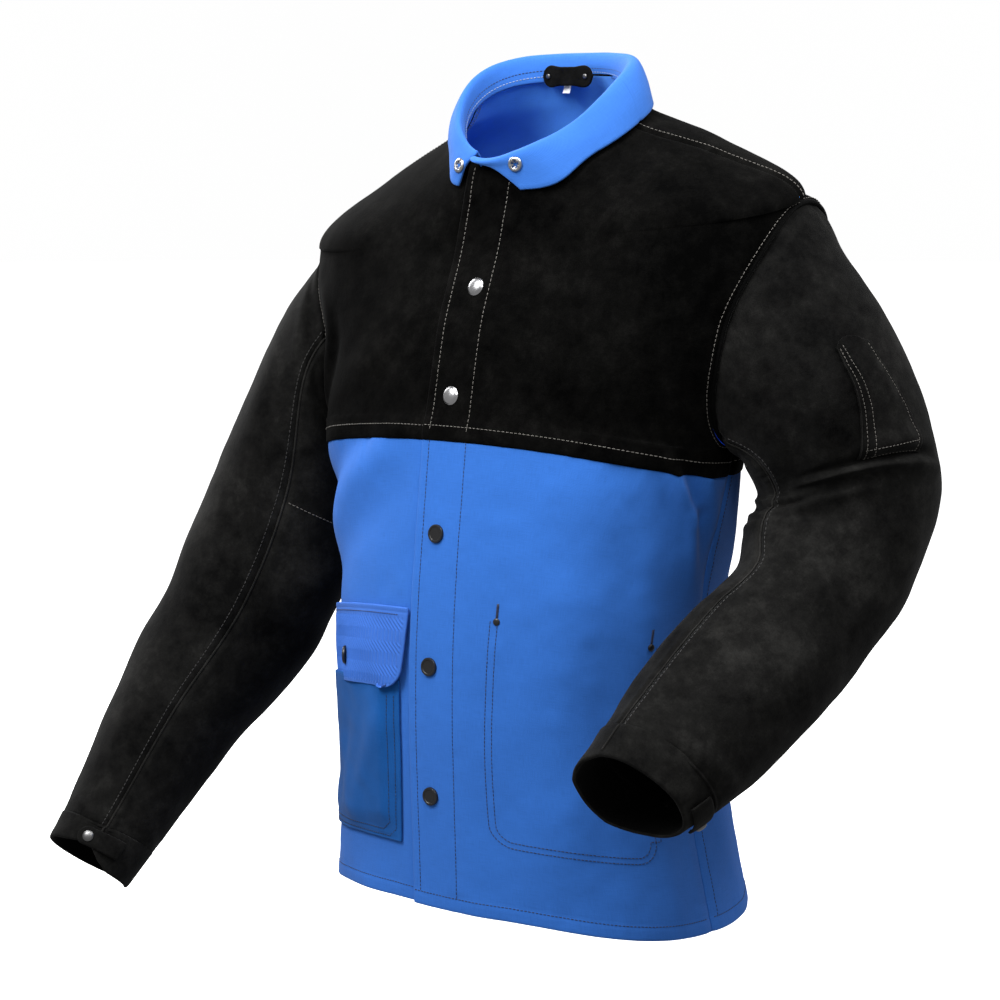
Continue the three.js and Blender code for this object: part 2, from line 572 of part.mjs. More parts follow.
// The lengthwise curve of a sleeve at one angle round it.
function sleeveLine(sleeve, degrees) {
  const angle = THREE.MathUtils.degToRad(degrees);
  const rings = sleeve.sections.map(({ outer, inner, depth }) => {
    const a = new THREE.Vector3(...outer);
    const b = new THREE.Vector3(...inner);
    return { middle: a.clone().add(b).multiplyScalar(0.5), reach: a.sub(b).multiplyScalar(0.5), depth };
  });
  const points = [armholePoint(degrees, sleeve.side)];
  rings.forEach(({ middle, reach, depth }, i) => {
    const before = rings[Math.max(0, i - 1)].middle;
    const after = rings[Math.min(rings.length - 1, i + 1)].middle;
    const forward = reach.clone().cross(after.clone().sub(before)).normalize();
    forward.multiplyScalar(-sleeve.side);
    points.push(middle.clone().addScaledVector(reach, Math.cos(angle)).addScaledVector(forward, depth * Math.sin(angle)));
  });
  return new THREE.CatmullRomCurve3(points, false, 'centripetal');
}

function sleeveRows(sleeve, low, high, lengthSteps, from, to, roundSteps) {
  const lines = spaced(from, to, roundSteps).map((degrees) => sleeveLine(sleeve, degrees));
  return spaced(low, high, lengthSteps).map((run) => lines.map((line) => line.getPoint(Math.min(run, 1))));
}

[{ word: 'right', sleeve: RIGHT_SLEEVE }, { word: 'left', sleeve: LEFT_SLEEVE }].forEach(({ word, sleeve }) => {
  const { frontSeam, backSeam } = sleeve;
  const order = (from, to) => (sleeve.side > 0 ? [from, to] : [to, from]);
  const gap = SLEEVE_SEAM_GAP;
  const cuffEnd = CUFF_START - CUFF_GAP;
  const [outerFrom, outerTo] = order(backSeam - 360 + gap, frontSeam - gap);
  const [underFrom, underTo] = order(frontSeam + gap, backSeam - gap);
  addSkin(`${word}_sleeve_outer`, BLACK_LEATHER,
    sleeveRows(sleeve, SLEEVE_START, cuffEnd, SLEEVE_STEPS, outerFrom, outerTo, 9), -LEATHER, 0);
  addSkin(`${word}_sleeve_under`, BLACK_LEATHER,
    sleeveRows(sleeve, SLEEVE_START, cuffEnd, SLEEVE_STEPS, underFrom, underTo, 9), -LEATHER, 0);
  const [cuffFrom, cuffTo] = order(0, 360 - 360 / CUFF_STEPS);
  addSkin(`${word}_cuff`, BLACK_LEATHER,
    sleeveRows(sleeve, CUFF_START, 1, 2, cuffFrom, cuffTo, CUFF_STEPS - 1), -CUFF_THICKNESS, 0, true);
  const [tabFrom, tabTo] = order(sleeve.tabEnd, sleeve.tabEnd + TAB.reach);
  addSkin(`${word}_cuff_tab`, BLACK_LEATHER,
    sleeveRows(sleeve, TAB.low, TAB.high, 1, tabFrom, tabTo, 5), TAB.lift, TAB.lift + TAB.thickness);
  const grip = sleeveLine(sleeve, sleeve.tabEnd + 12);
  const beside = sleeveLine(sleeve, sleeve.tabEnd + 20);
  const run = (TAB.low + TAB.high) / 2;
  const point = grip.getPoint(run);
  const downhill = grip.getPoint(run + 0.01).sub(grip.getPoint(run - 0.01));
  const normal = downhill.cross(beside.getPoint(run).sub(point)).normalize().multiplyScalar(-sleeve.side);
  const foot = point.addScaledVector(normal, TAB.lift + TAB.thickness + FASTENER_GAP);
  addTurned(`${word}_cuff_snap`, BRIGHT_METAL, foot, normal, domed(TAB_SNAP_RADIUS, SNAP_HEIGHT * 0.8));
});

addSkin('pen_pocket', BLACK_LEATHER,
  sleeveRows(LEFT_SLEEVE, PEN_POCKET.low, PEN_POCKET.high, 5, PEN_POCKET.from, PEN_POCKET.to, 4),
  PEN_POCKET.lift, PEN_POCKET.lift + PEN_POCKET.thickness);

export default group;
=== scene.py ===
"""The looks of a welding jacket on an invisible form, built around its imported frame.

+Z is up, -Y is the front and +X is the wearer's left. Shapes are worked out in millimetres, as in the
part's own source, and turned into metres when a mesh is made. The cloth surfaces have two parameters:
on the body a share from -1 (right side seam) over 0 (centre) to 1 (left side seam) and a station from
0 (hem) to 1 (neck seam), on a sleeve an angle round it and a run from armhole to cuff.
"""

import math

import bpy
import numpy as np
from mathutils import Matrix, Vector


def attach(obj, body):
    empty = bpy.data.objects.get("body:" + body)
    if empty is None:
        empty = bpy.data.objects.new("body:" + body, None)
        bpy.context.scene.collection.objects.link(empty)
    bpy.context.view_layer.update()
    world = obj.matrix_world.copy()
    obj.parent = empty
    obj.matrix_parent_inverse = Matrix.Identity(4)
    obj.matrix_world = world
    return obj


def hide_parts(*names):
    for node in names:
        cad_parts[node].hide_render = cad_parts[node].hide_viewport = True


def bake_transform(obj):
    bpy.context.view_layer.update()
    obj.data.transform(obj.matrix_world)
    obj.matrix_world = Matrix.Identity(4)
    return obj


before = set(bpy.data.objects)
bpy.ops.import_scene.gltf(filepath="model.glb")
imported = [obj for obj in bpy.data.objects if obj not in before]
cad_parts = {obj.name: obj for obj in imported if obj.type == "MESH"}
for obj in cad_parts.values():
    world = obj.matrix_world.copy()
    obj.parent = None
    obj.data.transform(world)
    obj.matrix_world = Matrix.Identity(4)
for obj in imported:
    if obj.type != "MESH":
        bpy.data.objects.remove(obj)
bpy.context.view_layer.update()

MM = 0.001

# ------------------------------------------------------------------ dimensions shared with the CAD part
HEM, WAIST, RIBS, YOKE_LINE, UNDERARM = 0, 0.22, 0.38, 0.54, 0.56
CHEST, SHOULDER_TIP, SHOULDER_MID, NECK_BASE, NECK = 0.69, 0.82, 0.91, 0.955, 1
# station, level, half width, half depth, middle y, squareness, tilt, dip, side shift, sway
SECTIONS = np.array([
    [HEM, -722, 184, 148, -5, 2.5, 0, -15, 0, 0],
    [WAIST, -580, 162, 143, -16, 2.5, -3, -14, 4, 0],
    [RIBS, -450, 176, 128, -26, 2.5, -5, -22, 10, 0],
    [YOKE_LINE, -327, 200, 115, -24, 2.4, -5, -22, 18, 0],
    [UNDERARM, -312, 202, 113, -23, 2.4, -3, -20, 20, 0],
    [CHEST, -218, 214, 106, -14, 2.4, 4, -5, 20, 11],
    [SHOULDER_TIP, -122, 247, 90, -2, 2.4, 18, 0, 16, 7],
    [SHOULDER_MID, -70, 168, 78, -6, 2.3, 30, 10, 4, 5],
    [NECK_BASE, -43, 93, 70, -11, 2.1, 36, 14, 0, 6],
    [NECK, -22, 74, 62, -14, 2.1, 38.5, 16.5, 0, 6],
])
ARMHOLE_HALF_WIDTH = 66
LEFT_SHOULDER_LIFT = 0.06
RIGHT_SHOULDER_DROP = 0.11
HEM_LEAN = -0.045
FRONT, BACK = -1, 1

PLACKET_EDGE_X, PLACKET_INNER_X, RIGHT_FRONT_END_X = -22, 25, 10.6
PLACKET_LIFT = 4.6
SNAP_STATIONS = [0.748, 0.593, 0.427, 0.295, 0.152]
LEATHER_SNAPS = 2
SNAP_RADIUS = 8
POCKET = {"from": -0.1, "to": -0.7, "bottom": 0.078, "top": 0.262}
FLAP = {"from": -0.088, "to": -0.71, "bottom": 0.27, "top": 0.345}
FLAP_SNAP = (-0.4, 0.295)
INSIDE_POCKET = {"from": 0.16, "to": 0.82, "bottom": 0.1, "top": 0.345}
POCKET_RIVETS = [0.18, 0.79]

COLLAR_STAND_BACK, COLLAR_STAND_FRONT = 13, 3
# where the seam starts, the share and station of the leaf's tip, and the leaf's station at the side
LEFT_LEAF = (-0.15, 0.12, 0.925, 0.951)
RIGHT_LEAF = (0.21, 0.215, 0.94, 0.969)
COLLAR_CLEARANCE = 4.6

LOOP_PLACE = np.array([-3, 32, -2])
LOOP_TURN = -0.06
LOOP_RIVET_SPACING = 42

# outer point, inner point and depth of each section of a sleeve, from the shoulder down
RIGHT_SLEEVE = {
    "side": -1, "front_seam": 90, "back_seam": 270, "tab_end": 67,
    "sections": [
        ((-268, -25, -200), (-216, -5, -330), 74),
        ((-322, -71, -346), (-214, 5, -408), 70),
        ((-352, -106, -454), (-240, -28, -518), 66),
        ((-378, -158, -558), (-286, -94, -610), 59),
        ((-388, -207, -650), (-316, -157, -690), 50),
        ((-392, -231, -689), (-328, -187, -725), 46),
    ],
}
LEFT_SLEEVE = {
    "side": 1, "front_seam": 150, "back_seam": 300, "tab_end": -12,
    "sections": [
        ((300, 60, -192), (216, -10, -328), 76),
        ((331, 88, -285), (224, 0, -350), 72),
        ((342, 95, -349), (224, -10, -364), 68),
        ((338, 66, -413), (224, -23, -384), 65),
        ((319, 15, -482), (231, -41, -406), 62),
        ((309, -30, -518), (219, -88, -440), 60),
        ((294, -97, -565), (208, -153, -489), 57),
        ((280, -142, -589), (204, -192, -521), 52),
        ((270, -172, -603), (202, -216, -543), 46),
    ],
}
CUFF_START = 0.9
TAB = {"reach": 52, "low": 0.925, "high": 0.985}

# ------------------------------------------------------------------ numbers of the cloth itself
LEATHER, COTTON = 2.6, 2.0
GRID = 2.3
BODY_HEIGHT, BODY_HALF_ROUND = 700, 235
SLEEVE_LENGTH, SLEEVE_ROUND = 640, 400


# ------------------------------------------------------------------ noise and curves
def smooth(low, high, x):
    t = np.clip((x - low) / (high - low), 0, 1)
    return t * t * (3 - 2 * t)


LATTICE = 32
lattice_values = np.random.RandomState(7).rand(LATTICE, LATTICE, LATTICE) * 2 - 1


def noise(points, size, seed=0):
    """Smooth noise from -1 to 1 at points in mm, with blobs of about that size."""
    p = np.asarray(points, float) / size + seed * 17.31 + 1000
    cell = np.floor(p).astype(int)
    f = p - cell
    f = f * f * f * (f * (6 * f - 15) + 10)
    total = 0
    for corner in np.ndindex(2, 2, 2):
        index = (cell + corner) % LATTICE
        weight = np.prod(np.where(corner, f, 1 - f), axis=-1)
        total = total + weight * lattice_values[index[..., 0], index[..., 1], index[..., 2]]
    return total


def along(at, column):
    """A value of the body sections at a station, on a smooth curve that never overshoots."""
    x, y = SECTIONS[:, 0], SECTIONS[:, column]
    span = np.diff(x)
    slope = np.diff(y) / span
    grade = np.zeros_like(y)
    grade[0], grade[-1] = slope[0], slope[-1]
    for i in range(1, len(x) - 1):
        if slope[i - 1] * slope[i] > 0:
            before, after = 2 * span[i] + span[i - 1], span[i] + 2 * span[i - 1]
            grade[i] = (before + after) / (before / slope[i - 1] + after / slope[i])
    at = np.clip(at, 0, 1)
    i = np.clip(np.searchsorted(x, at, side="right") - 1, 0, len(x) - 2)
    t = (at - x[i]) / span[i]
    rise = t * t * (3 - 2 * t)
    bend = t * (1 - t) * span[i] * ((1 - t) * grade[i] - t * grade[i + 1])
    return (1 - rise) * y[i] + rise * y[i + 1] + bend


def body_point(share, at, half):
    """Points of the body's outer surface in mm; share and at are arrays of one shape."""
    share, at = np.broadcast_arrays(np.asarray(share, float), np.asarray(at, float))
    level, width, depth, middle, power, tilt, dip, shift, sway = (along(at, c) for c in range(1, 10))
    c = 2 * (at - UNDERARM) / (SHOULDER_TIP - UNDERARM) - 1
    opening = ARMHOLE_HALF_WIDTH * np.sqrt(np.clip(1 - c * c, 0, None))
    edge = np.clip((shift + half * opening) / depth, -0.97, 0.97)
    reach = width / (1 - np.abs(edge) ** power) ** (1 / power)
    edge_angle = np.sign(edge) * np.arcsin(np.abs(edge) ** (power / 2))
    angle = half * math.pi / 2 + (edge_angle - half * math.pi / 2) * np.abs(share)
    x = np.sign(share) * reach * np.abs(np.cos(angle)) ** (2 / power)
    lift = np.sign(np.sin(angle)) * np.abs(np.sin(angle)) ** (2 / power)
    left = LEFT_SHOULDER_LIFT * (1 - smooth(SHOULDER_TIP, NECK, at))
    right = RIGHT_SHOULDER_DROP * (1 - smooth(SHOULDER_MID, NECK, at))
    lean = np.where(share > 0, left, right) * smooth(YOKE_LINE, SHOULDER_TIP, at)
    lean = lean + HEM_LEAN * (1 - smooth(HEM, YOKE_LINE, at))
    z = level + tilt * lift - dip * lift * lift + lean * x
    return np.stack([x + sway, middle + depth * lift, z], axis=-1)


def share_at_x(x, at):
    low, high = np.full(np.shape(at), -0.7), np.full(np.shape(at), 0.7)
    for _ in range(30):
        middle = (low + high) / 2
        left = body_point(middle, at, FRONT)[..., 0] < x
        low, high = np.where(left, middle, low), np.where(left, high, middle)
    return (low + high) / 2


def through(points, run):
    """Points on smooth curves through `points`, which is (controls, curves, 3); run is from 0 to 1."""
    first, last = 2 * points[0] - points[1], 2 * points[-1] - points[-2]
    p = np.concatenate([first[None], points, last[None]])
    spans = len(points) - 1
    place = np.clip(run, 0, 1) * spans
    i = np.minimum(place.astype(int), spans - 1)
    t = (place - i)[:, None, None]
    a, b, c, d = p[i], p[i + 1], p[i + 2], p[i + 3]
    gap = [np.maximum(np.linalg.norm(v - u, axis=-1, keepdims=True), 1e-6) ** 0.5 for u,
           v in ((a, b), (b, c), (c, d))]
    enter = ((b - a) / gap[0] - (c - a) / (gap[0] + gap[1]) + (c - b) / gap[1]) * gap[1]
    leave = ((c - b) / gap[1] - (d - b) / (gap[1] + gap[2]) + (d - c) / gap[2]) * gap[1]
    return (b + enter * t + (3 * (c - b) - 2 * enter - leave) * t * t
            + (2 * (b - c) + enter + leave) * t * t * t)


def armhole_point(degrees, side):
    angle = np.radians(degrees)
    at = (UNDERARM + SHOULDER_TIP) / 2 + np.cos(angle) * (SHOULDER_TIP - UNDERARM) / 2
    at = np.clip(at, UNDERARM + 1e-6, SHOULDER_TIP - 1e-6)
    front = body_point(side, at, FRONT)
    back = body_point(side, at, BACK)
    return np.where((np.sin(angle) >= 0)[:, None], front, back)


def sleeve_point(sleeve, degrees, run):
    """Points of a sleeve's outer surface in mm, one row for each run and one column for each angle."""
    degrees, run = np.asarray(degrees, float), np.asarray(run, float)
    angle = np.radians(degrees)[:, None]
    outer, inner = (np.array([s[k] for s in sleeve["sections"]], float) for k in (0, 1))
    depth = np.array([s[2] for s in sleeve["sections"]], float)
    middle, reach = (outer + inner) / 2, (outer - inner) / 2
    rings = [armhole_point(degrees, sleeve["side"])]
    last = len(middle) - 1
    for i in range(last + 1):
        way = middle[min(i + 1, last)] - middle[max(i - 1, 0)]
        forward = np.cross(reach[i], way)
        forward = -sleeve["side"] * forward / np.linalg.norm(forward)
        rings.append(middle[i] + reach[i] * np.cos(angle) + forward * depth[i] * np.sin(angle))
    return through(np.array(rings), run)


def creases(x, y, rows):
    """Folds as soft ridges: each row is the two ends, in mm of cloth, then the width and the height."""
    total = np.zeros(np.shape(x))
    for x0, y0, x1, y1, width, height in rows:
        dx, dy = x1 - x0, y1 - y0
        t = np.clip(((x - x0) * dx + (y - y0) * dy) / (dx * dx + dy * dy), 0, 1)
        away = np.hypot(x - x0 - t * dx, y - y0 - t * dy)
        swell = 0.35 + 0.65 * np.sin(math.pi * (0.12 + 0.76 * t))
        total += height * np.exp(-((away / width) ** 2)) * swell
    return total


# ------------------------------------------------------------------ panels of cloth
class Panel:
    """A grid of points over two parameters. `place` gives points from (across, down) arrays, `relief` a
    height in mm from the same arrays and the points. `limits` gives the two ends across at a row."""

    def __init__(self, place, downs, limits, columns, relief, lift=0.0):
        self.downs = np.asarray(downs, float)
        self.limits = limits
        low, high = limits(self.downs)
        low, high = np.broadcast_to(low, self.downs.shape), np.broadcast_to(high, self.downs.shape)
        self.share = low[:, None] + (high - low)[:, None] * np.linspace(0, 1, columns)[None]
        down = np.broadcast_to(self.downs[:, None], self.share.shape)
        base = place(self.share, down)
        normals = grid_normals(base)
        height = relief(self.share, down, base) + lift
        self.points = base + normals * height[..., None]
        self.normals = grid_normals(self.points)

    def at(self, across, down, lift=0.0):
        """Points and normals of the panel at (across, down), with a lift in mm off its surface."""
        across, down = np.broadcast_arrays(np.asarray(across, float), np.asarray(down, float))
        low, high = self.limits(down)
        rows, columns = self.share.shape
        i = np.clip((across - low) / (high - low), 0, 1) * (columns - 1)
        j = np.clip(np.interp(down, self.downs, np.arange(rows)), 0, rows - 1)
        i0, j0 = np.minimum(i.astype(int), columns - 2), np.minimum(j.astype(int), rows - 2)
        fi, fj = (i - i0)[..., None], (j - j0)[..., None]

        def read(grid):
            top = grid[j0, i0] * (1 - fi) + grid[j0, i0 + 1] * fi
            bottom = grid[j0 + 1, i0] * (1 - fi) + grid[j0 + 1, i0 + 1] * fi
            return top * (1 - fj) + bottom * fj

        normal = read(self.normals)
        normal = normal / np.linalg.norm(normal, axis=-1, keepdims=True)
        return read(self.points) + normal * lift, normal


def unit(v):
    return v / np.maximum(np.linalg.norm(v, axis=-1, keepdims=True), 1e-9)


def grid_normals(points):
    normals = unit(np.cross(np.gradient(points, axis=1), np.gradient(points, axis=0)))
    outside = points - points.reshape(-1, 3).mean(0)
    return normals if (normals * outside).sum() > 0 else -normals


def body_panel(downs, limits, columns, half, relief, lift=0.0):
    return Panel(lambda s, t: body_point(s, t, half), downs, limits, columns, relief, lift)


def sleeve_panel(sleeve, runs, low, high, columns, relief, lift=0.0):
    def place(degrees, run):
        return sleeve_point(sleeve, degrees[0], run[:, 0])

    return Panel(place, runs, lambda r: (low, high), columns, relief, lift)


def make_mesh(name, verts, faces, materials, indices=None, uv=None, sharp=50):
    mesh = bpy.data.meshes.new(name)
    mesh.from_pydata((np.asarray(verts) * MM).tolist(), [], faces)
    for material in materials:
        mesh.materials.append(material)
    if indices is not None:
        mesh.polygons.foreach_set("material_index", np.asarray(indices, np.int32))
    mesh.polygons.foreach_set("use_smooth", np.ones(len(mesh.polygons), bool))
    if uv is not None:
        corners = np.zeros(len(mesh.loops), np.int32)
        mesh.loops.foreach_get("vertex_index", corners)
        layer = mesh.uv_layers.new(name="cloth")
        layer.data.foreach_set("uv", (np.asarray(uv) * MM)[corners].astype(np.float32).ravel())
    mesh.validate()
    mesh.set_sharp_from_angle(angle=math.radians(sharp))
    obj = bpy.data.objects.new(name, mesh)
    bpy.context.scene.collection.objects.link(obj)
    return obj


RIM = 3


def shell(name, outer, inner, materials, closed=False, square_ends=()):
    """A closed skin between two grids of points. Its free edges are rounded; `square_ends` names the sides
    (first or last column, 'low' or 'high') that end flat, where another piece carries on."""
    rows, columns = outer.shape[:2]
    count = rows * columns
    verts = [outer.reshape(-1, 3), inner.reshape(-1, 3)]
    index = np.arange(count).reshape(rows, columns)
    if np.einsum("ijk,ijk->", np.cross(np.gradient(outer, axis=1), np.gradient(outer, axis=0)),
                 outer - inner) < 0:
        flip = slice(None, None, -1)
    else:
        flip = slice(None)
    wide = index if not closed else np.concatenate([index, index[:, :1]], axis=1)
    quads = np.stack([wide[:-1, :-1], wide[:-1, 1:], wide[1:, 1:], wide[1:, :-1]], axis=-1).reshape(-1, 4)
    quads = quads[:, flip]
    faces = [quads, quads[:, ::-1] + count]
    tags = [np.zeros(len(quads), int), np.ones(len(quads), int)]
    if closed:
        loops = [(index[0], outer[0] - outer[1]), (index[-1][::-1], (outer[-1] - outer[-2])[::-1])]
    else:
        ring = np.concatenate([index[0, :-1], index[:-1, -1], index[-1, :0:-1], index[:0:-1, 0]])
        out = np.zeros_like(outer)
        out[0] += unit(outer[0] - outer[1])
        out[-1] += unit(outer[-1] - outer[-2])
        if "low" not in square_ends:
            out[:, 0] += unit(outer[:, 0] - outer[:, 1])
        if "high" not in square_ends:
            out[:, -1] += unit(outer[:, -1] - outer[:, -2])
        if "low" in square_ends:
            out[[0, -1], 0] = 0
        if "high" in square_ends:
            out[[0, -1], -1] = 0
        loops = [(ring, out.reshape(-1, 3)[ring])]
    flat_outer, flat_inner = verts[0], verts[1]
    used = 2 * count
    uv_extra = []
    for ring, way in loops:
        middle = (flat_outer[ring] + flat_inner[ring]) / 2
        up = (flat_outer[ring] - flat_inner[ring]) / 2
        size = np.linalg.norm(up, axis=1, keepdims=True)
        length = np.linalg.norm(way, axis=1, keepdims=True)
        way = np.where(length > 1e-9, way / np.maximum(length, 1e-9), 0) * size
        chain = [ring]
        for k in range(1, RIM + 1):
            turn = math.pi * k / (RIM + 1)
            verts.append(middle + up * math.cos(turn) + way * math.sin(turn))
            chain.append(np.arange(used, used + len(ring)))
            used += len(ring)
            uv_extra.append(ring)
        chain.append(ring + count)
        for a, b in zip(chain[:-1], chain[1:]):
            side = np.stack([np.roll(a, -1), a, b, np.roll(b, -1)], axis=-1)[:, flip]
            faces.append(side)
            tags.append(np.zeros(len(side), int))
    verts = np.concatenate(verts)
    step_u = np.linalg.norm(np.diff(outer, axis=1), axis=-1).mean(0)
    step_v = np.linalg.norm(np.diff(outer, axis=0), axis=-1).mean(1)
    u = np.concatenate([[0], np.cumsum(step_u)])
    v = np.concatenate([[0], np.cumsum(step_v)])
    flat_uv = np.stack(np.meshgrid(u, v), axis=-1).reshape(-1, 2)
    uv = np.concatenate([flat_uv, flat_uv] + [flat_uv[r] for r in uv_extra])
    faces, tags = np.concatenate(faces), np.concatenate(tags)
    if len(materials) == 1:
        tags = tags * 0
    return make_mesh(name, verts, faces.tolist(), materials, tags, uv)


def panel_shell(name, panel, thickness, materials, **options):
    return shell(name, panel.points, panel.points - panel.normals * thickness, materials, **options)


# ------------------------------------------------------------------ stitches and turned pieces
def resample(points, normals, pitch):
    length = np.concatenate([[0], np.cumsum(np.linalg.norm(np.diff(points, axis=0), axis=1))])
    count = max(2, int(round(length[-1] / pitch)))
    where = (np.arange(count) + 0.5) * length[-1] / count
    read = [np.stack([np.interp(where, length, a[:, k]) for k in range(3)], axis=-1) for a in (points,
                                                                                               normals)]
    ahead = np.stack([np.interp(where + 0.6, length, points[:, k]) for k in range(3)], axis=-1)
    behind = np.stack([np.interp(where - 0.6, length, points[:, k]) for k in range(3)], axis=-1)
    return read[0], unit(read[1]), unit(ahead - behind)


STITCH_SIDES = 6
# how far along the stitch, how thick and how high each ring of it is
STITCH_RINGS = [(-0.5, 0.25, -0.55), (-0.42, 0.8, -0.12), (-0.2, 1.0, 0.12), (0.2, 1.0, 0.12),
                (0.42, 0.8, -0.12), (0.5, 0.25, -0.55)]


def stitches(name, lines, material, pitch=4.0, length=2.9, radius=0.36):
    """Sewn thread along lines of (points, normals): one small bent thread for each stitch."""
    centre, normal, way = (np.concatenate(part) for part in zip(*(resample(p, n, pitch) for p, n in lines)))
    side = unit(np.cross(normal, way))
    normal = np.cross(way, side)
    verts = []
    for reach, thick, high in STITCH_RINGS:
        middle = centre + way * (reach * length) + normal * (high * radius)
        for k in range(STITCH_SIDES):
            turn = 2 * math.pi * k / STITCH_SIDES
            verts.append(middle + radius * thick * (side * math.cos(turn) + normal * math.sin(turn)))
    rings = len(STITCH_RINGS)
    verts = np.stack(verts, axis=1).reshape(-1, 3)
    faces = []
    per = rings * STITCH_SIDES
    for j in range(rings - 1):
        for k in range(STITCH_SIDES):
            n = (k + 1) % STITCH_SIDES
            faces.append([j * STITCH_SIDES + k, j * STITCH_SIDES + n, (j + 1) * STITCH_SIDES + n,
                          (j + 1) * STITCH_SIDES + k])
    quads = (np.arange(len(centre))[:, None, None] * per + np.array(faces)[None]).reshape(-1, 4)
    caps = [list(range(STITCH_SIDES))[::-1], [per - STITCH_SIDES + k for k in range(STITCH_SIDES)]]
    ends = (np.arange(len(centre))[:, None, None] * per + np.array(caps)[None]).reshape(-1, STITCH_SIDES)
    return make_mesh(name, verts, quads.tolist() + ends.tolist(), [material], sharp=180)


TUBE_SIDES = 8


def tube(name, points, normals, width, height, material, closed=False):
    """A cord-like strip along points, width across and height along the normals, with capped ends."""
    if closed:
        way = unit(np.roll(points, -1, axis=0) - np.roll(points, 1, axis=0))
    else:
        way = unit(np.gradient(points, axis=0))
    side = unit(np.cross(normals, way))
    up = np.cross(way, side)
    turn = 2 * math.pi * np.arange(TUBE_SIDES) / TUBE_SIDES
    across, high = np.cos(turn) * width / 2, np.sin(turn) * height / 2
    ring = side[:, None] * across[None, :, None] + up[:, None] * high[None, :, None]
    verts = (points[:, None] + ring).reshape(-1, 3)
    count, faces = len(points), []
    for j in range(count if closed else count - 1):
        a, b = j * TUBE_SIDES, (j + 1) % count * TUBE_SIDES
        for k in range(TUBE_SIDES):
            n = (k + 1) % TUBE_SIDES
            faces.append([a + k, a + n, b + n, b + k])
    if not closed:
        faces.append(list(range(TUBE_SIDES))[::-1])
        faces.append([(count - 1) * TUBE_SIDES + k for k in range(TUBE_SIDES)])
    return make_mesh(name, verts, faces, [material], sharp=80)


ROUND_STEPS = 40


def turned(name, foot, axis, profile, material, closed=False, sharp=35):
    """A turned piece on the line from foot along axis; profile lists (radius, height) in mm."""
    axis = Vector(axis).normalized()
    turn = axis.to_track_quat("Z", "Y").to_matrix()
    verts, rings = [], []
    for radius, height in profile:
        steps = 1 if radius == 0 else ROUND_STEPS
        rings.append((len(verts), steps))
        for k in range(steps):
            angle = 2 * math.pi * k / ROUND_STEPS
            point = turn @ Vector((radius * math.cos(angle), radius * math.sin(angle), height))
            verts.append([point[i] + foot[i] for i in range(3)])
    faces = []
    pairs = list(zip(rings, rings[1:] + rings[:1])) if closed else list(zip(rings, rings[1:]))
    for (a, a_steps), (b, b_steps) in pairs:
        for k in range(ROUND_STEPS):
            n = (k + 1) % ROUND_STEPS
            if a_steps == 1:
                faces.append([a, b + n, b + k])
            elif b_steps == 1:
                faces.append([a + k, a + n, b])
            else:
                faces.append([a + k, a + n, b + n, b + k])
    return make_mesh(name, verts, faces, [material], sharp=sharp)


def domed(radius, height):
    rim = [(0, -0.4), (radius * 0.9, -0.4), (radius * 0.99, 0.1), (radius, 0.45), (radius * 0.97, 0.75)]
    arc = [(radius * 0.9 * math.cos(a), 0.75 + (height - 0.75) * math.sin(a)) for a in np.linspace(0.15,
                                                                                                   1.45, 9)]
    return rim + arc + [(0, height)]


def flat_cap(radius, height):
    return [(0, -0.4), (radius * 0.9, -0.4), (radius, 0.1), (radius, height * 0.6),
            (radius * 0.95, height * 0.93),
            (radius * 0.86, height), (radius * 0.76, height * 0.95), (radius * 0.7,
                                                                      height * 0.72), (0, height * 0.66)]


def stud(radius, height):
    return [(0, -0.4), (radius, -0.4), (radius, 0.25), (radius * 0.92, 0.45), (radius * 0.62, 0.5),
            (radius * 0.56, height * 0.7), (radius * 0.6, height), (radius * 0.45,
                                                                    height * 1.1), (0, height * 1.1)]


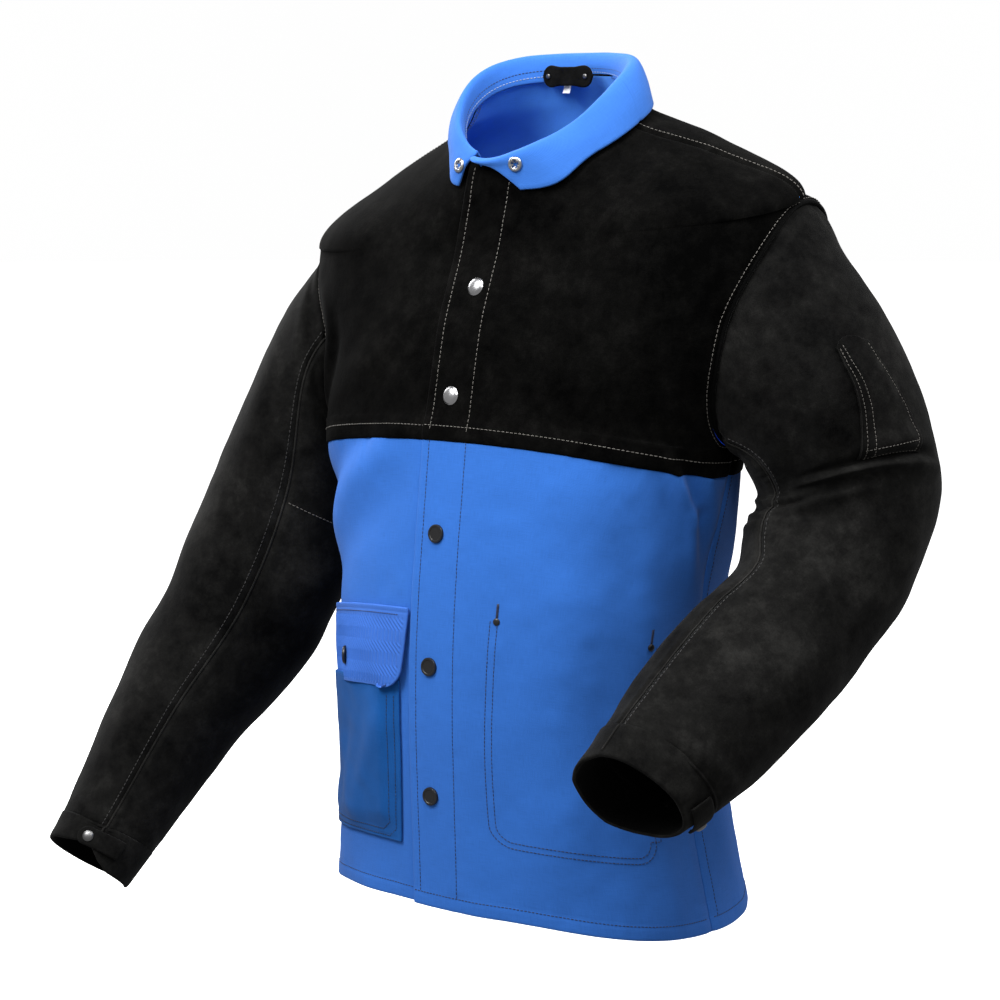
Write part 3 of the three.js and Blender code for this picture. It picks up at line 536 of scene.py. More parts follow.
# ------------------------------------------------------------------ finishes
class Finish:
    """A Principled material, with short calls for the nodes that vary it over the surface."""

    def __init__(self, name, color, roughness, **sockets):
        self.material = bpy.data.materials.new(name)
        self.material.use_nodes = True
        self.tree = self.material.node_tree
        self.shader = self.tree.nodes["Principled BSDF"]
        self.shader.inputs["Base Color"].default_value = (*color, 1)
        self.shader.inputs["Roughness"].default_value = roughness
        for socket, value in sockets.items():
            self.shader.inputs[socket.replace("_", " ")].default_value = value
        self.place = self.node("ShaderNodeTexCoord").outputs["Object"]

    def node(self, kind, **settings):
        made = self.tree.nodes.new(kind)
        for key, value in settings.items():
            setattr(made, key, value)
        return made

    def link(self, source, socket):
        self.tree.links.new(source, socket)

    def math(self, operation, a, b=0.0):
        made = self.node("ShaderNodeMath", operation=operation)
        for socket, value in zip(made.inputs, (a, b)):
            if isinstance(value, (int, float)):
                socket.default_value = value
            else:
                self.link(value, socket)
        return made.outputs[0]

    def clouds(self, scale, detail=4.0, rough=0.55, place=None, stretch=None):
        """Noise from 0 to 1; scale is blobs for each metre."""
        place = self.place if place is None else place
        if stretch:
            mapping = self.node("ShaderNodeMapping")
            mapping.inputs["Scale"].default_value = stretch
            self.link(place, mapping.inputs["Vector"])
            place = mapping.outputs[0]
        made = self.node("ShaderNodeTexNoise")
        made.inputs["Scale"].default_value = scale
        made.inputs["Detail"].default_value = detail
        made.inputs["Roughness"].default_value = rough
        self.link(place, made.inputs["Vector"])
        return made.outputs["Fac"]

    def ramp(self, value, stops):
        made = self.node("ShaderNodeValToRGB")
        bar = made.color_ramp
        while len(bar.elements) < len(stops):
            bar.elements.new(0.5)
        for element, (place, color) in zip(bar.elements, stops):
            element.position = place
            element.color = (*color, 1)
        self.link(value, made.inputs[0])
        return made.outputs["Color"]

    def mix(self, kind, factor, a, b):
        made = self.node("ShaderNodeMix", data_type="RGBA", blend_type=kind)
        for socket, value in ((made.inputs["Factor"], factor), (made.inputs["A"], a),
                              (made.inputs["B"], b)):
            if isinstance(value, (int, float)):
                socket.default_value = value
            elif isinstance(value, tuple):
                socket.default_value = (*value, 1)
            else:
                self.link(value, socket)
        return made.outputs["Result"]

    def color(self, source):
        self.link(source, self.shader.inputs["Base Color"])

    def rough(self, value, low, high):
        made = self.node("ShaderNodeMapRange")
        made.inputs["To Min"].default_value = low
        made.inputs["To Max"].default_value = high
        self.link(value, made.inputs["Value"])
        self.link(made.outputs[0], self.shader.inputs["Roughness"])

    def bump(self, height, strength, distance):
        made = self.node("ShaderNodeBump")
        made.inputs["Strength"].default_value = strength
        made.inputs["Distance"].default_value = distance
        self.link(height, made.inputs["Height"])
        self.link(made.outputs[0], self.shader.inputs["Normal"])


def suede(name, dark, light, shine=1.0):
    """Split cowhide: a short nap that has been brushed here and there, over a fibrous grain."""
    f = Finish(name, dark, 0.9, Sheen_Weight=0.035 * shine, Sheen_Roughness=0.4,
               Specular_IOR_Level=0.06 * shine)
    broad = f.clouds(9, 6, 0.65)
    nap = f.clouds(60, 8, 0.75)
    fibre = f.clouds(750, 3, 0.6)
    mottle = f.math("ADD", f.math("MULTIPLY", broad, 0.55), f.math("MULTIPLY", nap, 0.45))
    shade = f.ramp(mottle, [(0.4, dark), (0.52, tuple(0.65 * d + 0.35 * l for d, l in zip(dark, light))),
                            (0.64, light)])
    f.color(f.mix("MULTIPLY", 0.55, shade, f.ramp(fibre,
                                                  [(0.3, (0.45, 0.45, 0.45)), (0.7, (1.0, 1.0, 1.0))])))
    f.rough(nap, 0.82, 1.0)
    grain = f.math("ADD", f.math("MULTIPLY", f.clouds(260, 5, 0.65), 0.7), f.math("MULTIPLY", fibre, 0.5))
    f.bump(grain, 0.55, 0.0007)
    return f.material


TWILL_LINES = 1250
YARNS = 1900


def cotton(name, base, worn=0.0, lines=TWILL_LINES):
    """Twill: fine diagonal lines of yarn with uneven yarns and a soft, slightly washed colour."""
    f = Finish(name, base, 0.85, Sheen_Weight=0.07, Sheen_Roughness=0.5, Specular_IOR_Level=0.12)
    cloth = f.node("ShaderNodeUVMap", uv_map="cloth").outputs[0]
    split = f.node("ShaderNodeSeparateXYZ")
    f.link(cloth, split.inputs[0])
    slant = f.math("ADD", f.math("MULTIPLY", split.outputs[0], lines * 2 * math.pi * 0.75),
                   f.math("MULTIPLY", split.outputs[1], lines * 2 * math.pi * 0.5))
    rib = f.math("ADD", f.math("MULTIPLY", f.math("SINE", slant), 0.5), 0.5)
    warp = f.clouds(1, 3, 0.6, cloth, (YARNS, YARNS / 22, 1))
    weft = f.clouds(1, 3, 0.6, cloth, (YARNS / 26, YARNS, 1))
    yarn = f.math("MULTIPLY", f.math("ADD", warp, weft), 0.5)
    patches = f.clouds(16, 5, 0.6)
    dark = tuple(0.72 * c for c in base)
    light = tuple(min(1, 1.16 * c + 0.012) for c in base)
    shade = f.ramp(patches, [(0.3, tuple((0.94 - 0.2 * worn) * c for c in base)),
                             (0.7, tuple((1.05 + 0.1 * worn) * c for c in base))])
    thread = f.ramp(yarn, [(0.36, dark), (0.5, base), (0.66, light)])
    f.color(f.mix("MIX", 0.4, shade, f.mix("MULTIPLY", 0.35, thread,
                                           f.ramp(rib,
                                                  [(0.0, (0.7, 0.72, 0.78)), (0.8, (1.0, 1.0, 1.0))]))))
    f.rough(yarn, 0.75, 0.95)
    f.bump(f.math("ADD", f.math("MULTIPLY", rib, 0.5), yarn), 0.4, 0.0004)
    return f.material


def thread(name, base):
    f = Finish(name, base, 0.6, Sheen_Weight=0.1)
    twist = f.clouds(2600, 2, 0.5)
    f.color(f.mix("MULTIPLY", 0.6, base, f.ramp(twist,
                                                [(0.3, (0.55, 0.55, 0.55)), (0.7, (1.0, 1.0, 1.0))])))
    f.bump(twist, 0.5, 0.0003)
    return f.material


def metal(name, base, roughness, metallic, scuff=0.12):
    f = Finish(name, base, roughness, Metallic=metallic)
    scratches = f.clouds(700, 4, 0.7, None, (1, 1, 6))
    f.rough(scratches, roughness, roughness + scuff)
    f.color(f.mix("MULTIPLY", 0.35, base, f.ramp(f.clouds(240, 4, 0.6),
                                                 [(0.3, (0.75, 0.75, 0.75)), (0.7, (1.0, 1.0, 1.0))])))
    f.bump(scratches, 0.12, 0.0001)
    return f.material


BLACK_SUEDE = suede("black_suede", (0.0013, 0.0013, 0.0013), (0.019, 0.0187, 0.0176))
# the yokes' suede is the same leather with about half the colour and less sheen: painted shade that offsets
# the stronger light falling on the shoulders
SHADED_YOKE_SUEDE = suede("yoke_suede_painted_shade", (0.0005, 0.0005, 0.0005), (0.0075, 0.0073, 0.0068), shine=0.35)
# the inner face of the sleeves and cuffs, and the seam hidden in the armholes, are far darker than the
# outer suede: painted shade for the shadow inside the sleeves
SHADED_BLACK_INSIDE = suede("black_suede_inside_painted_shade", (0.001, 0.001, 0.001), (0.004, 0.004, 0.004))
# a lighter suede for raised edges: a painted highlight along the cuff rims, the sleeve seam welts and the
# pen pocket's edge
HIGHLIGHT_SUEDE = suede("worn_suede", (0.008, 0.008, 0.0075), (0.035, 0.034, 0.032))
BLUE_COTTON = cotton("blue_cotton", (0.032, 0.155, 0.57))
# the cotton's inner face, seen inside the collar and the jacket, is about twice as bright as the outer
# cotton: painted light that makes up for the shade inside
LIT_BLUE_INSIDE = cotton("blue_cotton_inside_painted_light", (0.09, 0.34, 0.98))
COLLAR_COTTON = cotton("collar_cotton", (0.036, 0.155, 0.55))
# the pocket bags are the body's cotton made darker, which is painted shade; their patches also vary more
SHADED_POCKET_COTTON = cotton("pocket_cotton", (0.004, 0.088, 0.34), worn=1.0)
FLAP_COTTON = cotton("flap_cotton", (0.042, 0.15, 0.56))
WHITE_THREAD = thread("white_thread", (0.14, 0.13, 0.115))
GREY_THREAD = thread("grey_thread", (0.02, 0.019, 0.018))
NAVY_THREAD = thread("navy_thread", (0.008, 0.018, 0.06))
PALE_THREAD = thread("pale_thread", (0.35, 0.4, 0.5))
NICKEL = metal("nickel", (0.5, 0.5, 0.51), 0.24, 1.0)
DARK_NICKEL = metal("dark_nickel", (0.2, 0.2, 0.2), 0.3, 1.0)
BLACK_METAL = metal("black_metal", (0.01, 0.01, 0.011), 0.3, 0.0)
WHITE_TAPE = cotton("white_tape", (0.82, 0.82, 0.82))


# ------------------------------------------------------------------ how the cloth lies
def soft_noise(points, broad, middle, fine):
    return broad * noise(points, 125, 1) + middle * noise(points, 46, 2) + fine * noise(points, 15, 3)


def dip(distance, depth, width):
    """A surface that sinks by depth where the distance to a seam, in mm, goes to zero."""
    return -depth * (1 - smooth(0, width, distance))


def puckers(x, y, distance, height, reach=9.0):
    """Small gathers that stand across a seam and fade away from it."""
    ripple = noise(np.stack([x, y, 0 * x], axis=-1), 8, 5) + 0.5 * noise(np.stack([x, y, 0 * x], axis=-1),
                                                                         4.5, 6)
    return height * ripple * np.exp(-((distance / reach) ** 2))


def groove(offset, depth, width=2.0):
    return -depth * np.exp(-((offset / width) ** 2))


# ends of each fold across and up the cloth in mm, its width and its height
FRONT_FOLDS = [
    (-22, 374, -205, 258, 17, 4.2), (-62, 374, -218, 296, 14, -3.4), (-112, 376, -228, 322, 13, 3.0),
    (-26, 330, -190, 228, 18, -2.6), (-120, 290, -132, 175, 20, 1.8), (-175, 240, -150, 60, 26, 2.2),
    (-60, 240, -75, 30, 24, -1.8), (160, 381, 206, 338, 8, 7.0), (206, 340, 232, 276, 9, 7.5),
    (174, 380, 214, 338, 7, -7.0), (214, 338, 235, 290, 8, -8.0), (214, 368, 232, 332, 7, 6.0),
    (190, 376, 200, 366, 5, -3.0), (-172, 340, -172, 240, 34, -9.0), (150, 372, 190, 318, 12, -2.6),
    (168, 300, 196, 220, 16, 2.4), (96, 360, 108, 120, 30, 1.8),
    (150, 330, 140, 60, 28, -2.0), (60, 200, 70, 20, 30, 1.4), (200, 180, 205, 20, 22, 3.0),
    (-150, 400, -62, 482, 24, 2.2), (-196, 402, -180, 520, 15, 3.4), (-172, 396, -160, 500, 13, -2.6),
    (196, 402, 180, 520, 15, 3.0), (172, 400, 158, 505, 14, -2.4), (90, 420, 140, 560, 30, 2.0),
    (-60, 560, -150, 610, 26, 2.4), (70, 600, 150, 625, 22, 2.2), (40, 640, 110, 650, 12, -1.6),
]
BACK_FOLDS = [
    (-92, 366, -120, 60, 30, 3.2), (62, 360, 72, 40, 34, 3.2), (0, 366, -12, 30, 30, -2.6),
    (-205, 352, -110, 215, 19, 3.8), (205, 352, 118, 228, 19, 3.8), (-150, 300, -165, 60, 24, -2.4),
    (150, 300, 160, 40, 24, -2.4), (-190, 400, -168, 540, 17, 3.6), (190, 400, 168, 540, 17, 3.6),
    (-120, 480, 0, 520, 30, 2.4), (0, 520, 120, 480, 30, 2.4), (-90, 610, 90, 612, 24, 1.8),
    (-60, 420, -40, 560, 26, -1.8), (70, 420, 46, 560, 26, -1.8),
]
TUCK = 1.8
YOKE_OVERLAP = 0.010
HEM_DEPTH = 12


def body_relief(half, leather, lap=False):
    """How far the body's cloth stands off its even shape; `lap` is for the front that lies on top."""
    folds = FRONT_FOLDS if half == FRONT else BACK_FOLDS

    def relief(share, at, points):
        x, y = share * BODY_HALF_ROUND, at * BODY_HEIGHT
        height = soft_noise(points, 2.0, 0.8, 0.28) + creases(x, y, folds)
        to_side = (1 - np.abs(share)) * BODY_HALF_ROUND
        height = height * (0.25 + 0.75 * smooth(0, 34, to_side))
        to_yoke = np.abs(at - YOKE_LINE) * BODY_HEIGHT
        if leather:
            height += dip(to_side, 2.4, 7) + puckers(x, y, to_side - 6, 0.3)
            height += 0.9 * (1 - smooth(0, 26, (at - YOKE_LINE) * BODY_HEIGHT + 7))
            height += puckers(x, y * 0.3, to_yoke - 6, 0.35) + groove(to_yoke - 6.5, 0.35)
        else:
            height += dip(to_side, 1.6, 6) + puckers(x * 0.3, y, to_side - 5, 0.3)
            height += dip((YOKE_LINE - at) * BODY_HEIGHT, TUCK, 9) + puckers(x, y * 0.2, to_yoke, 0.5, 22)
            wave = noise(points * (1, 1, 0.25), 85, 9) + 0.4 * noise(points * (1, 1, 0.3), 38, 10)
            height += 3.2 * wave * (1 - smooth(0, 0.16, at)) * smooth(0, 40, to_side)
            above = at * BODY_HEIGHT
            height += 0.6 * (1 - smooth(HEM_DEPTH - 1, HEM_DEPTH + 2, above)) + groove(above - HEM_DEPTH,
                                                                                       0.35)
            height += puckers(x, y * 0.3, above - HEM_DEPTH, 0.3)
        if lap:
            across = points[..., 0] - body_point(0 * at, at, FRONT)[..., 0]
            height = height * (0.45 + 0.55 * smooth(20, 70, np.abs(across)))
            height += PLACKET_LIFT * (1 - smooth(26, 80, across))
            height += 0.55 * (1 - smooth(23, 27, across))
            height += groove(across + 15, 0.4) + groove(across - 24, 0.4)
            height += puckers(x * 0.3, y, across - 24, 0.25) + puckers(x * 0.3, y, across + 15, 0.25)
        elif half == FRONT:
            height = height * smooth(-12, -60, points[..., 0])
        return height

    return relief


RIGHT_SLEEVE_FOLDS = [
    (22, 300, 96, 345, 17, 3.0), (24, 334, 92, 372, 14, -2.4), (110, 300, 190, 250, 19, 3.0),
    (116, 342, 200, 300, 15, -2.6), (60, 60, 112, 150, 17, 3.4), (92, 48, 140, 140, 15, -3.0),
    (30, 118, 62, 205, 18, 2.4), (40, 540, 102, 585, 13, 2.0), (122, 520, 182, 575, 15, 2.4),
    (-40, 250, 20, 300, 20, 2.6), (-60, 330, 10, 385, 18, 2.2), (-90, 420, -20, 470, 18, 2.4),
    (60, 430, 90, 520, 20, 1.8), (150, 400, 175, 500, 20, -2.0), (150, 90, 215, 150, 16, 3.2),
    (150, 130, 220, 190, 14, -2.8), (240, 300, 290, 350, 18, 2.6), (235, 420, 290, 460, 16, 2.2),
    (232, 120, 292, 200, 20, 3.0),
]
LEFT_SLEEVE_FOLDS = [
    (134, 130, 94, 145, 6, -4.5), (96, 144, 34, 172, 7, -8.5), (136, 142, 88, 160, 11, 4.0), (90, 160, 30,
                                                                                              188, 11, 5.5),
    (88, 132, 40, 152, 10, 3.0), (196, 196, 150, 216, 15, -9.0), (206, 176, 168, 190, 14, 4.0),
    (190, 232, 150, 246, 13, 5.0), (196, 262, 150, 268, 13, 4.0), (150, 240, 108, 262, 14, -3.4),
    (142, 226, 96, 206, 14, 3.0), (150, 306, 84, 392, 16, 3.2), (62, 384, 86, 540, 19, 2.6),
    (122, 396, 132, 560, 17, -2.8), (30, 420, 48, 520, 20, 2.6), (30, 548, 110, 566, 12, 2.6),
    (96, 300, 70, 372, 15, -2.6), (60, 250, 30, 300, 18, 2.8), (120, 470, 80, 520, 12, 2.6),
    (-20, 300, 30, 330, 18, 2.6), (-60, 260, -10, 330, 20, 2.4), (-40, 60, 10, 150, 22, 2.6),
    (120, 34, 132, 110, 14, -3.0), (100, 40, 112, 124, 13, 3.0), (146, 30, 156, 110, 12, 3.4),
    (170, 60, 200, 150, 18, 3.0), (180, 420, 210, 520, 18, 2.6), (240, 330, 300, 400, 20, 2.8),
    (250, 120, 290, 220, 22, 2.8), (250, 450, 290, 540, 18, 2.2),
]


def sleeve_relief(folds, low, high):
    """How far a sleeve's skin stands off its even shape, between its seams at the angles low and high."""
    def relief(degrees, run, points):
        x, y = degrees / 360 * SLEEVE_ROUND, run * SLEEVE_LENGTH
        height = soft_noise(points + 300, 2.2, 1.0, 0.3)
        for shift in (-SLEEVE_ROUND, 0, SLEEVE_ROUND):
            height = height + creases(x + shift, y, folds)
        to_seam = np.minimum(np.abs(degrees - low), np.abs(degrees - high)) / 360 * SLEEVE_ROUND
        height = height * (0.3 + 0.7 * smooth(0, 22, to_seam)) * smooth(-0.02, 0.09, run)
        height += dip(to_seam, 1.3, 5) + puckers(x * 0.3, y, to_seam - 5, 0.35)
        height += 0.8 * np.exp(-(((to_seam - 6) / 4) ** 2))
        height += dip(y, 3.4, 12) + 1.6 * np.exp(-(((y - 20) / 12) ** 2)) + puckers(x, y * 0.3, y - 10, 0.6,
                                                                                    12)
        to_cuff = (CUFF_START - run) * SLEEVE_LENGTH
        height += dip(np.abs(to_cuff), 0.9, 4) + puckers(x, y * 0.3, to_cuff, 0.3)
        return height

    return relief


# ------------------------------------------------------------------ attaching the pieces and hiding their CAD nodes
def jacket_piece(obj, slot, *nodes, body="jacket"):
    """A piece that rides whole on one body, with the CAD nodes that it stands for; the slot is not used."""
    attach(obj, body)
    if nodes:
        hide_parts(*nodes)
    return obj


def swinging_piece(obj, slot, *nodes):
    """A piece of the left front, with its transform baked in and the CAD nodes that it stands for hidden.
    """
    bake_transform(obj)
    if nodes:
        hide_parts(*nodes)
    return obj


# ------------------------------------------------------------------ body
def steps(length):
    """How many grid lines a length in mm takes."""
    return max(2, int(round(length / GRID)))


ARMHOLE_ROWS = steps((SHOULDER_TIP - UNDERARM) * BODY_HEIGHT * 1.2)
even = np.linspace(0, 1, ARMHOLE_ROWS)
# rows stand closer together near both ends of the armhole, where its edge turns fast
armhole_rows = (UNDERARM + (SHOULDER_TIP - UNDERARM)
                * (0.35 * even + 0.65 * (1 - np.cos(math.pi * even)) / 2))
yoke_rows = np.concatenate([
    np.linspace(YOKE_LINE - YOKE_OVERLAP, UNDERARM, steps(20))[:-1],
    armhole_rows,
    np.linspace(SHOULDER_TIP, NECK, steps((NECK - SHOULDER_TIP) * BODY_HEIGHT))[1:],
])
panel_rows = np.linspace(HEM, YOKE_LINE + 0.012, steps((YOKE_LINE + 0.012) * BODY_HEIGHT))
HALF_COLUMNS = steps(BODY_HALF_ROUND)
SIDE = 0.9985
LEATHER_LIFT = 0.7


def whole(low, high):
    return lambda at: (low + 0 * at, high + 0 * at)


def placket_edge(at):
    return share_at_x(PLACKET_EDGE_X, at)


panels = {
    "back_yoke": body_panel(yoke_rows, whole(-SIDE, SIDE), 2 * HALF_COLUMNS, BACK, body_relief(BACK, True),
                            LEATHER_LIFT),
    "back_panel": body_panel(panel_rows, whole(-SIDE, SIDE), 2 * HALF_COLUMNS, BACK,
                             body_relief(BACK, False)),
    "right_front_yoke": body_panel(yoke_rows, lambda at: (-SIDE + 0 * at,
                                                          share_at_x(RIGHT_FRONT_END_X, at)),
                                   HALF_COLUMNS, FRONT, body_relief(FRONT, True), LEATHER_LIFT),
    "right_front_panel": body_panel(panel_rows,
                                    lambda at: (-SIDE + 0 * at, share_at_x(RIGHT_FRONT_END_X, at)),
                                    HALF_COLUMNS, FRONT, body_relief(FRONT, False)),
    "left_front_yoke": body_panel(yoke_rows, lambda at: (placket_edge(at), SIDE + 0 * at),
                                  HALF_COLUMNS + 10, FRONT, body_relief(FRONT, True,
                                                                        lap=True), LEATHER_LIFT),
    "left_front_panel": body_panel(panel_rows, lambda at: (placket_edge(at), SIDE + 0 * at),
                                   HALF_COLUMNS + 10, FRONT, body_relief(FRONT, False, lap=True)),
}
# the inner faces of all body panels carry the brighter painted-light cotton
# the yokes' outer face carries the darker painted-shade suede
leather_skin, cotton_skin = (SHADED_YOKE_SUEDE, LIT_BLUE_INSIDE), (BLUE_COTTON, LIT_BLUE_INSIDE)
jacket_piece(panel_shell("back_yoke_suede", panels["back_yoke"], LEATHER, leather_skin), "black_suede",
             "back_yoke")
jacket_piece(panel_shell("back_cotton", panels["back_panel"], COTTON, cotton_skin), "blue_cotton",
             "back_panel")
jacket_piece(panel_shell("right_front_yoke_suede", panels["right_front_yoke"], LEATHER, leather_skin),
             "black_suede", "right_front_yoke")
jacket_piece(panel_shell("right_front_cotton", panels["right_front_panel"], COTTON, cotton_skin),
             "blue_cotton", "right_front_panel")
swinging_piece(panel_shell("left_front_yoke_suede", panels["left_front_yoke"], LEATHER, leather_skin),
               "black_suede", "left_front_yoke", "left_side_yoke", "yoke_placket")
swinging_piece(panel_shell("left_front_cotton", panels["left_front_panel"], COTTON, cotton_skin),
               "blue_cotton", "left_front_panel", "left_side_panel", "panel_placket")


# ------------------------------------------------------------------ stitching of the body
def line(panel, across, down, lift=0.1):
    return panels[panel].at(across, down, lift)


def row_of(panel, low, high, at, count=160):
    return line(panel, np.linspace(low, high, count), np.full(count, at))


def column_of(panel, share, low, high, count=200):
    at = np.linspace(low, high, count)
    return line(panel, share(at) if callable(share) else np.full(count, share), at)


YOKE_STITCH = YOKE_LINE + 6.5 / BODY_HEIGHT - 0.004
HEM_STITCH = HEM_DEPTH / BODY_HEIGHT
ARM_STITCH = 1 - 7 / BODY_HALF_ROUND


def at_x(x):
    return lambda at: share_at_x(x, at)


LEFT_STITCH_X, RIGHT_STITCH_X = PLACKET_EDGE_X + 7, PLACKET_INNER_X - 1
swinging_piece(stitches("left_yoke_stitches", [
    row_of("left_front_yoke", -0.08, 0.99, YOKE_STITCH),
    column_of("left_front_yoke", at_x(LEFT_STITCH_X), YOKE_LINE, 0.985),
    column_of("left_front_yoke", at_x(RIGHT_STITCH_X), YOKE_LINE, 0.955),
    column_of("left_front_yoke", ARM_STITCH, UNDERARM - 0.005, SHOULDER_TIP),
], WHITE_THREAD), "black_suede")
swinging_piece(stitches("left_cotton_stitches", [
    column_of("left_front_panel", at_x(LEFT_STITCH_X), HEM_STITCH, YOKE_LINE - 0.01),
    column_of("left_front_panel", at_x(RIGHT_STITCH_X), HEM_STITCH, YOKE_LINE - 0.01),
    row_of("left_front_panel", -0.085, 0.99, HEM_STITCH),
], NAVY_THREAD, pitch=3.4, length=2.6), "blue_cotton")
jacket_piece(stitches("right_yoke_stitches", [
    row_of("right_front_yoke", -0.99, -0.03, YOKE_STITCH),
    column_of("right_front_yoke", -ARM_STITCH, UNDERARM - 0.005, SHOULDER_TIP),
    row_of("back_yoke", -0.99, 0.99, YOKE_STITCH, 320),
    column_of("back_yoke", ARM_STITCH, UNDERARM - 0.005, 0.995),
    column_of("back_yoke", -ARM_STITCH, UNDERARM - 0.005, 0.995),
], WHITE_THREAD), "black_suede")
jacket_piece(stitches("right_cotton_stitches", [
    row_of("right_front_panel", -0.99, -0.06, HEM_STITCH),
    row_of("back_panel", -0.99, 0.99, HEM_STITCH, 320),
    column_of("back_panel", 0.975, HEM_STITCH, YOKE_LINE - 0.012),
    column_of("back_panel", -0.975, HEM_STITCH, YOKE_LINE - 0.012),
], NAVY_THREAD, pitch=3.4, length=2.6), "blue_cotton")


# ------------------------------------------------------------------ pockets
def inside_pocket_outline(inset):
    """The double line of stitching that shows where the inside pocket hangs, as (shares, stations)."""
    p = INSIDE_POCKET
    x = (p["from"] * BODY_HALF_ROUND + inset, p["to"] * BODY_HALF_ROUND - inset)
    y = (p["bottom"] * BODY_HEIGHT + inset, p["top"] * BODY_HEIGHT)
    corner = 20 - inset
    turn = np.linspace(0, math.pi / 2, 12)
    left = [(x[0], v) for v in np.linspace(y[1], y[0] + corner, 60)]
    first = [(x[0] + corner * (1 - math.cos(a)), y[0] + corner * (1 - math.sin(a))) for a in turn]
    low = [(v, y[0]) for v in np.linspace(x[0] + corner, x[1] - corner, 60)]
    second = [(x[1] - corner * (1 - math.sin(a)), y[0] + corner * (1 - math.cos(a))) for a in turn]
    right = [(x[1] + 5, v) for v in np.linspace(y[0] + corner, y[1], 60)]
    points = np.array(left + first + low + second + right)
    return points[:, 0] / BODY_HALF_ROUND, points[:, 1] / BODY_HEIGHT


swinging_piece(stitches("inside_pocket_stitches", [
    line("left_front_panel", *inside_pocket_outline(0)),
    line("left_front_panel", *inside_pocket_outline(5.5)),
], NAVY_THREAD, pitch=3.4, length=2.7), "pocket_cotton")

inside_bag = body_panel(np.linspace(INSIDE_POCKET["bottom"], INSIDE_POCKET["top"], 60),
                        whole(INSIDE_POCKET["from"], INSIDE_POCKET["to"]), 70, FRONT,
                        lambda s, t, p: 1.2 * noise(p, 40, 4) - 1.5, -5.5)
# the inside bag's darker cotton is painted shade
swinging_piece(panel_shell("inside_pocket_bag", inside_bag, 1.4, (SHADED_POCKET_COTTON,)), "pocket_cotton",
               "inside_pocket")


def rounded_box(points_normals, width, height, depth, name, material):
    """A small bar of close stitches, as sewn at a pocket's corner."""
    (point, normal), way = points_normals
    side = np.cross(normal, way)
    rows = []
    for v in np.linspace(-0.5, 0.5, 13):
        rows.append([point + side * width * u + way * height * v
                     + normal * (depth * (1 - (2 * u) ** 4) * (1 - abs(2 * v) ** 8)
                                 + 0.12 * math.cos(v * 50))
                     for u in np.linspace(-0.5, 0.5, 9)])
    rows = np.array(rows)
    return shell(name, rows, rows - normal * (depth + 0.8), (material,))


for index, share in enumerate(POCKET_RIVETS):
    station = INSIDE_POCKET["top"]
    place, normal = (v[0] for v in line("left_front_panel", [share], [station + 0.004], 0.0))
    upper, _ = (v[0] for v in line("left_front_panel", [share], [station + 0.02], 0.0))
    way = unit(upper - place)
    bar = rounded_box(((place + way * 5 - normal * 0.2, normal), way), 2.6, 13, 0.9,
                      f"pocket_bartack_{index + 1}", NAVY_THREAD)
    rivet = turned(f"pocket_rivet_{index + 1}_metal", place - way * 4, normal, domed(3.1, 1.6), BLACK_METAL)
    swinging_piece(bar, "dark_snap")
    swinging_piece(rivet, "dark_snap", f"pocket_rivet_{index + 1}")


def bag_relief(share, at, points):
    """A soft bulge between the pocket's sewn edges, with a few folds."""
    x = (share - POCKET["from"]) / (POCKET["to"] - POCKET["from"])
    y = (at - POCKET["bottom"]) / (POCKET["top"] - POCKET["bottom"])
    rise = smooth(0, 0.14, x) * smooth(0, 0.14, 1 - x) * smooth(0, 0.2, y)
    edge = np.minimum(np.minimum(x, 1 - x) * 141, y * 129)
    height = 4.2 * rise + 1.3 * noise(points, 42, 12) * rise + 0.3 * noise(points, 14, 13)
    height += creases(x * 141, y * 129, [(20, 110, 60, 20, 14, 2.2), (70, 120, 96, 30, 13, -2.0),
                                         (110, 100, 60, 16, 16, 1.8)])
    height += groove(edge - 2.5, 0.4) + groove(edge - 8.5, 0.4) + 0.5 * (1 - smooth(9, 11, edge))
    return height


under_right = body_relief(FRONT, False)


def on_right_front(extra):
    return lambda share, at, points: under_right(share, at, points) + extra(share, at, points)


bag = body_panel(np.linspace(POCKET["bottom"], POCKET["top"] + 0.015, 92),
                 whole(POCKET["from"], POCKET["to"]), 96, FRONT, on_right_front(bag_relief), 2.2)
panels["bag"] = bag
# the pocket bag's darker cotton is painted shade
jacket_piece(panel_shell("right_pocket_bag", bag, 1.9, (SHADED_POCKET_COTTON,)), "pocket_cotton", "right_pocket")


def bag_line(inset):
    """Along the pocket's side, bottom and other side, that far in from its edge in mm."""
    dx, dy = inset / BODY_HALF_ROUND, inset / BODY_HEIGHT
    x = (POCKET["from"] - dx - 0.006, POCKET["to"] + dx + 0.006)
    y = (POCKET["bottom"] + dy, POCKET["top"])
    sides = [(x[0], v) for v in np.linspace(y[1], y[0] + 0.012, 50)]
    low = [(v, y[0]) for v in np.linspace(x[0] - 0.03, x[1] + 0.03, 50)]
    other = [(x[1], v) for v in np.linspace(y[0] + 0.012, y[1], 50)]
    points = np.array(sides + low + other)
    return points[:, 0], points[:, 1]


jacket_piece(stitches("right_pocket_stitches", [
    line("bag", *bag_line(2.5)), line("bag", *bag_line(8.5)),
], NAVY_THREAD, pitch=3.2, length=2.5), "pocket_cotton")

FLAP_HEIGHT = (FLAP["top"] - FLAP["bottom"]) * BODY_HEIGHT
RIB_PITCH = 3.1
FLAP_CORNER = 13


def flap_limits(at):
    """The flap is cut away in a curve towards its lower front corner."""
    down = np.clip((FLAP["top"] - at) / (FLAP["top"] - FLAP["bottom"]), 0, 1)
    past = np.clip((down * FLAP_HEIGHT - FLAP_HEIGHT + FLAP_CORNER) / FLAP_CORNER, 0, 0.999)
    corner = FLAP_CORNER * (1 - np.sqrt(1 - past * past)) / BODY_HALF_ROUND
    near = FLAP["from"] + 0.024 - 0.022 * down ** 1.5 - corner
    far = FLAP["to"] + 0.024 + 0.6 * corner
    return near, far


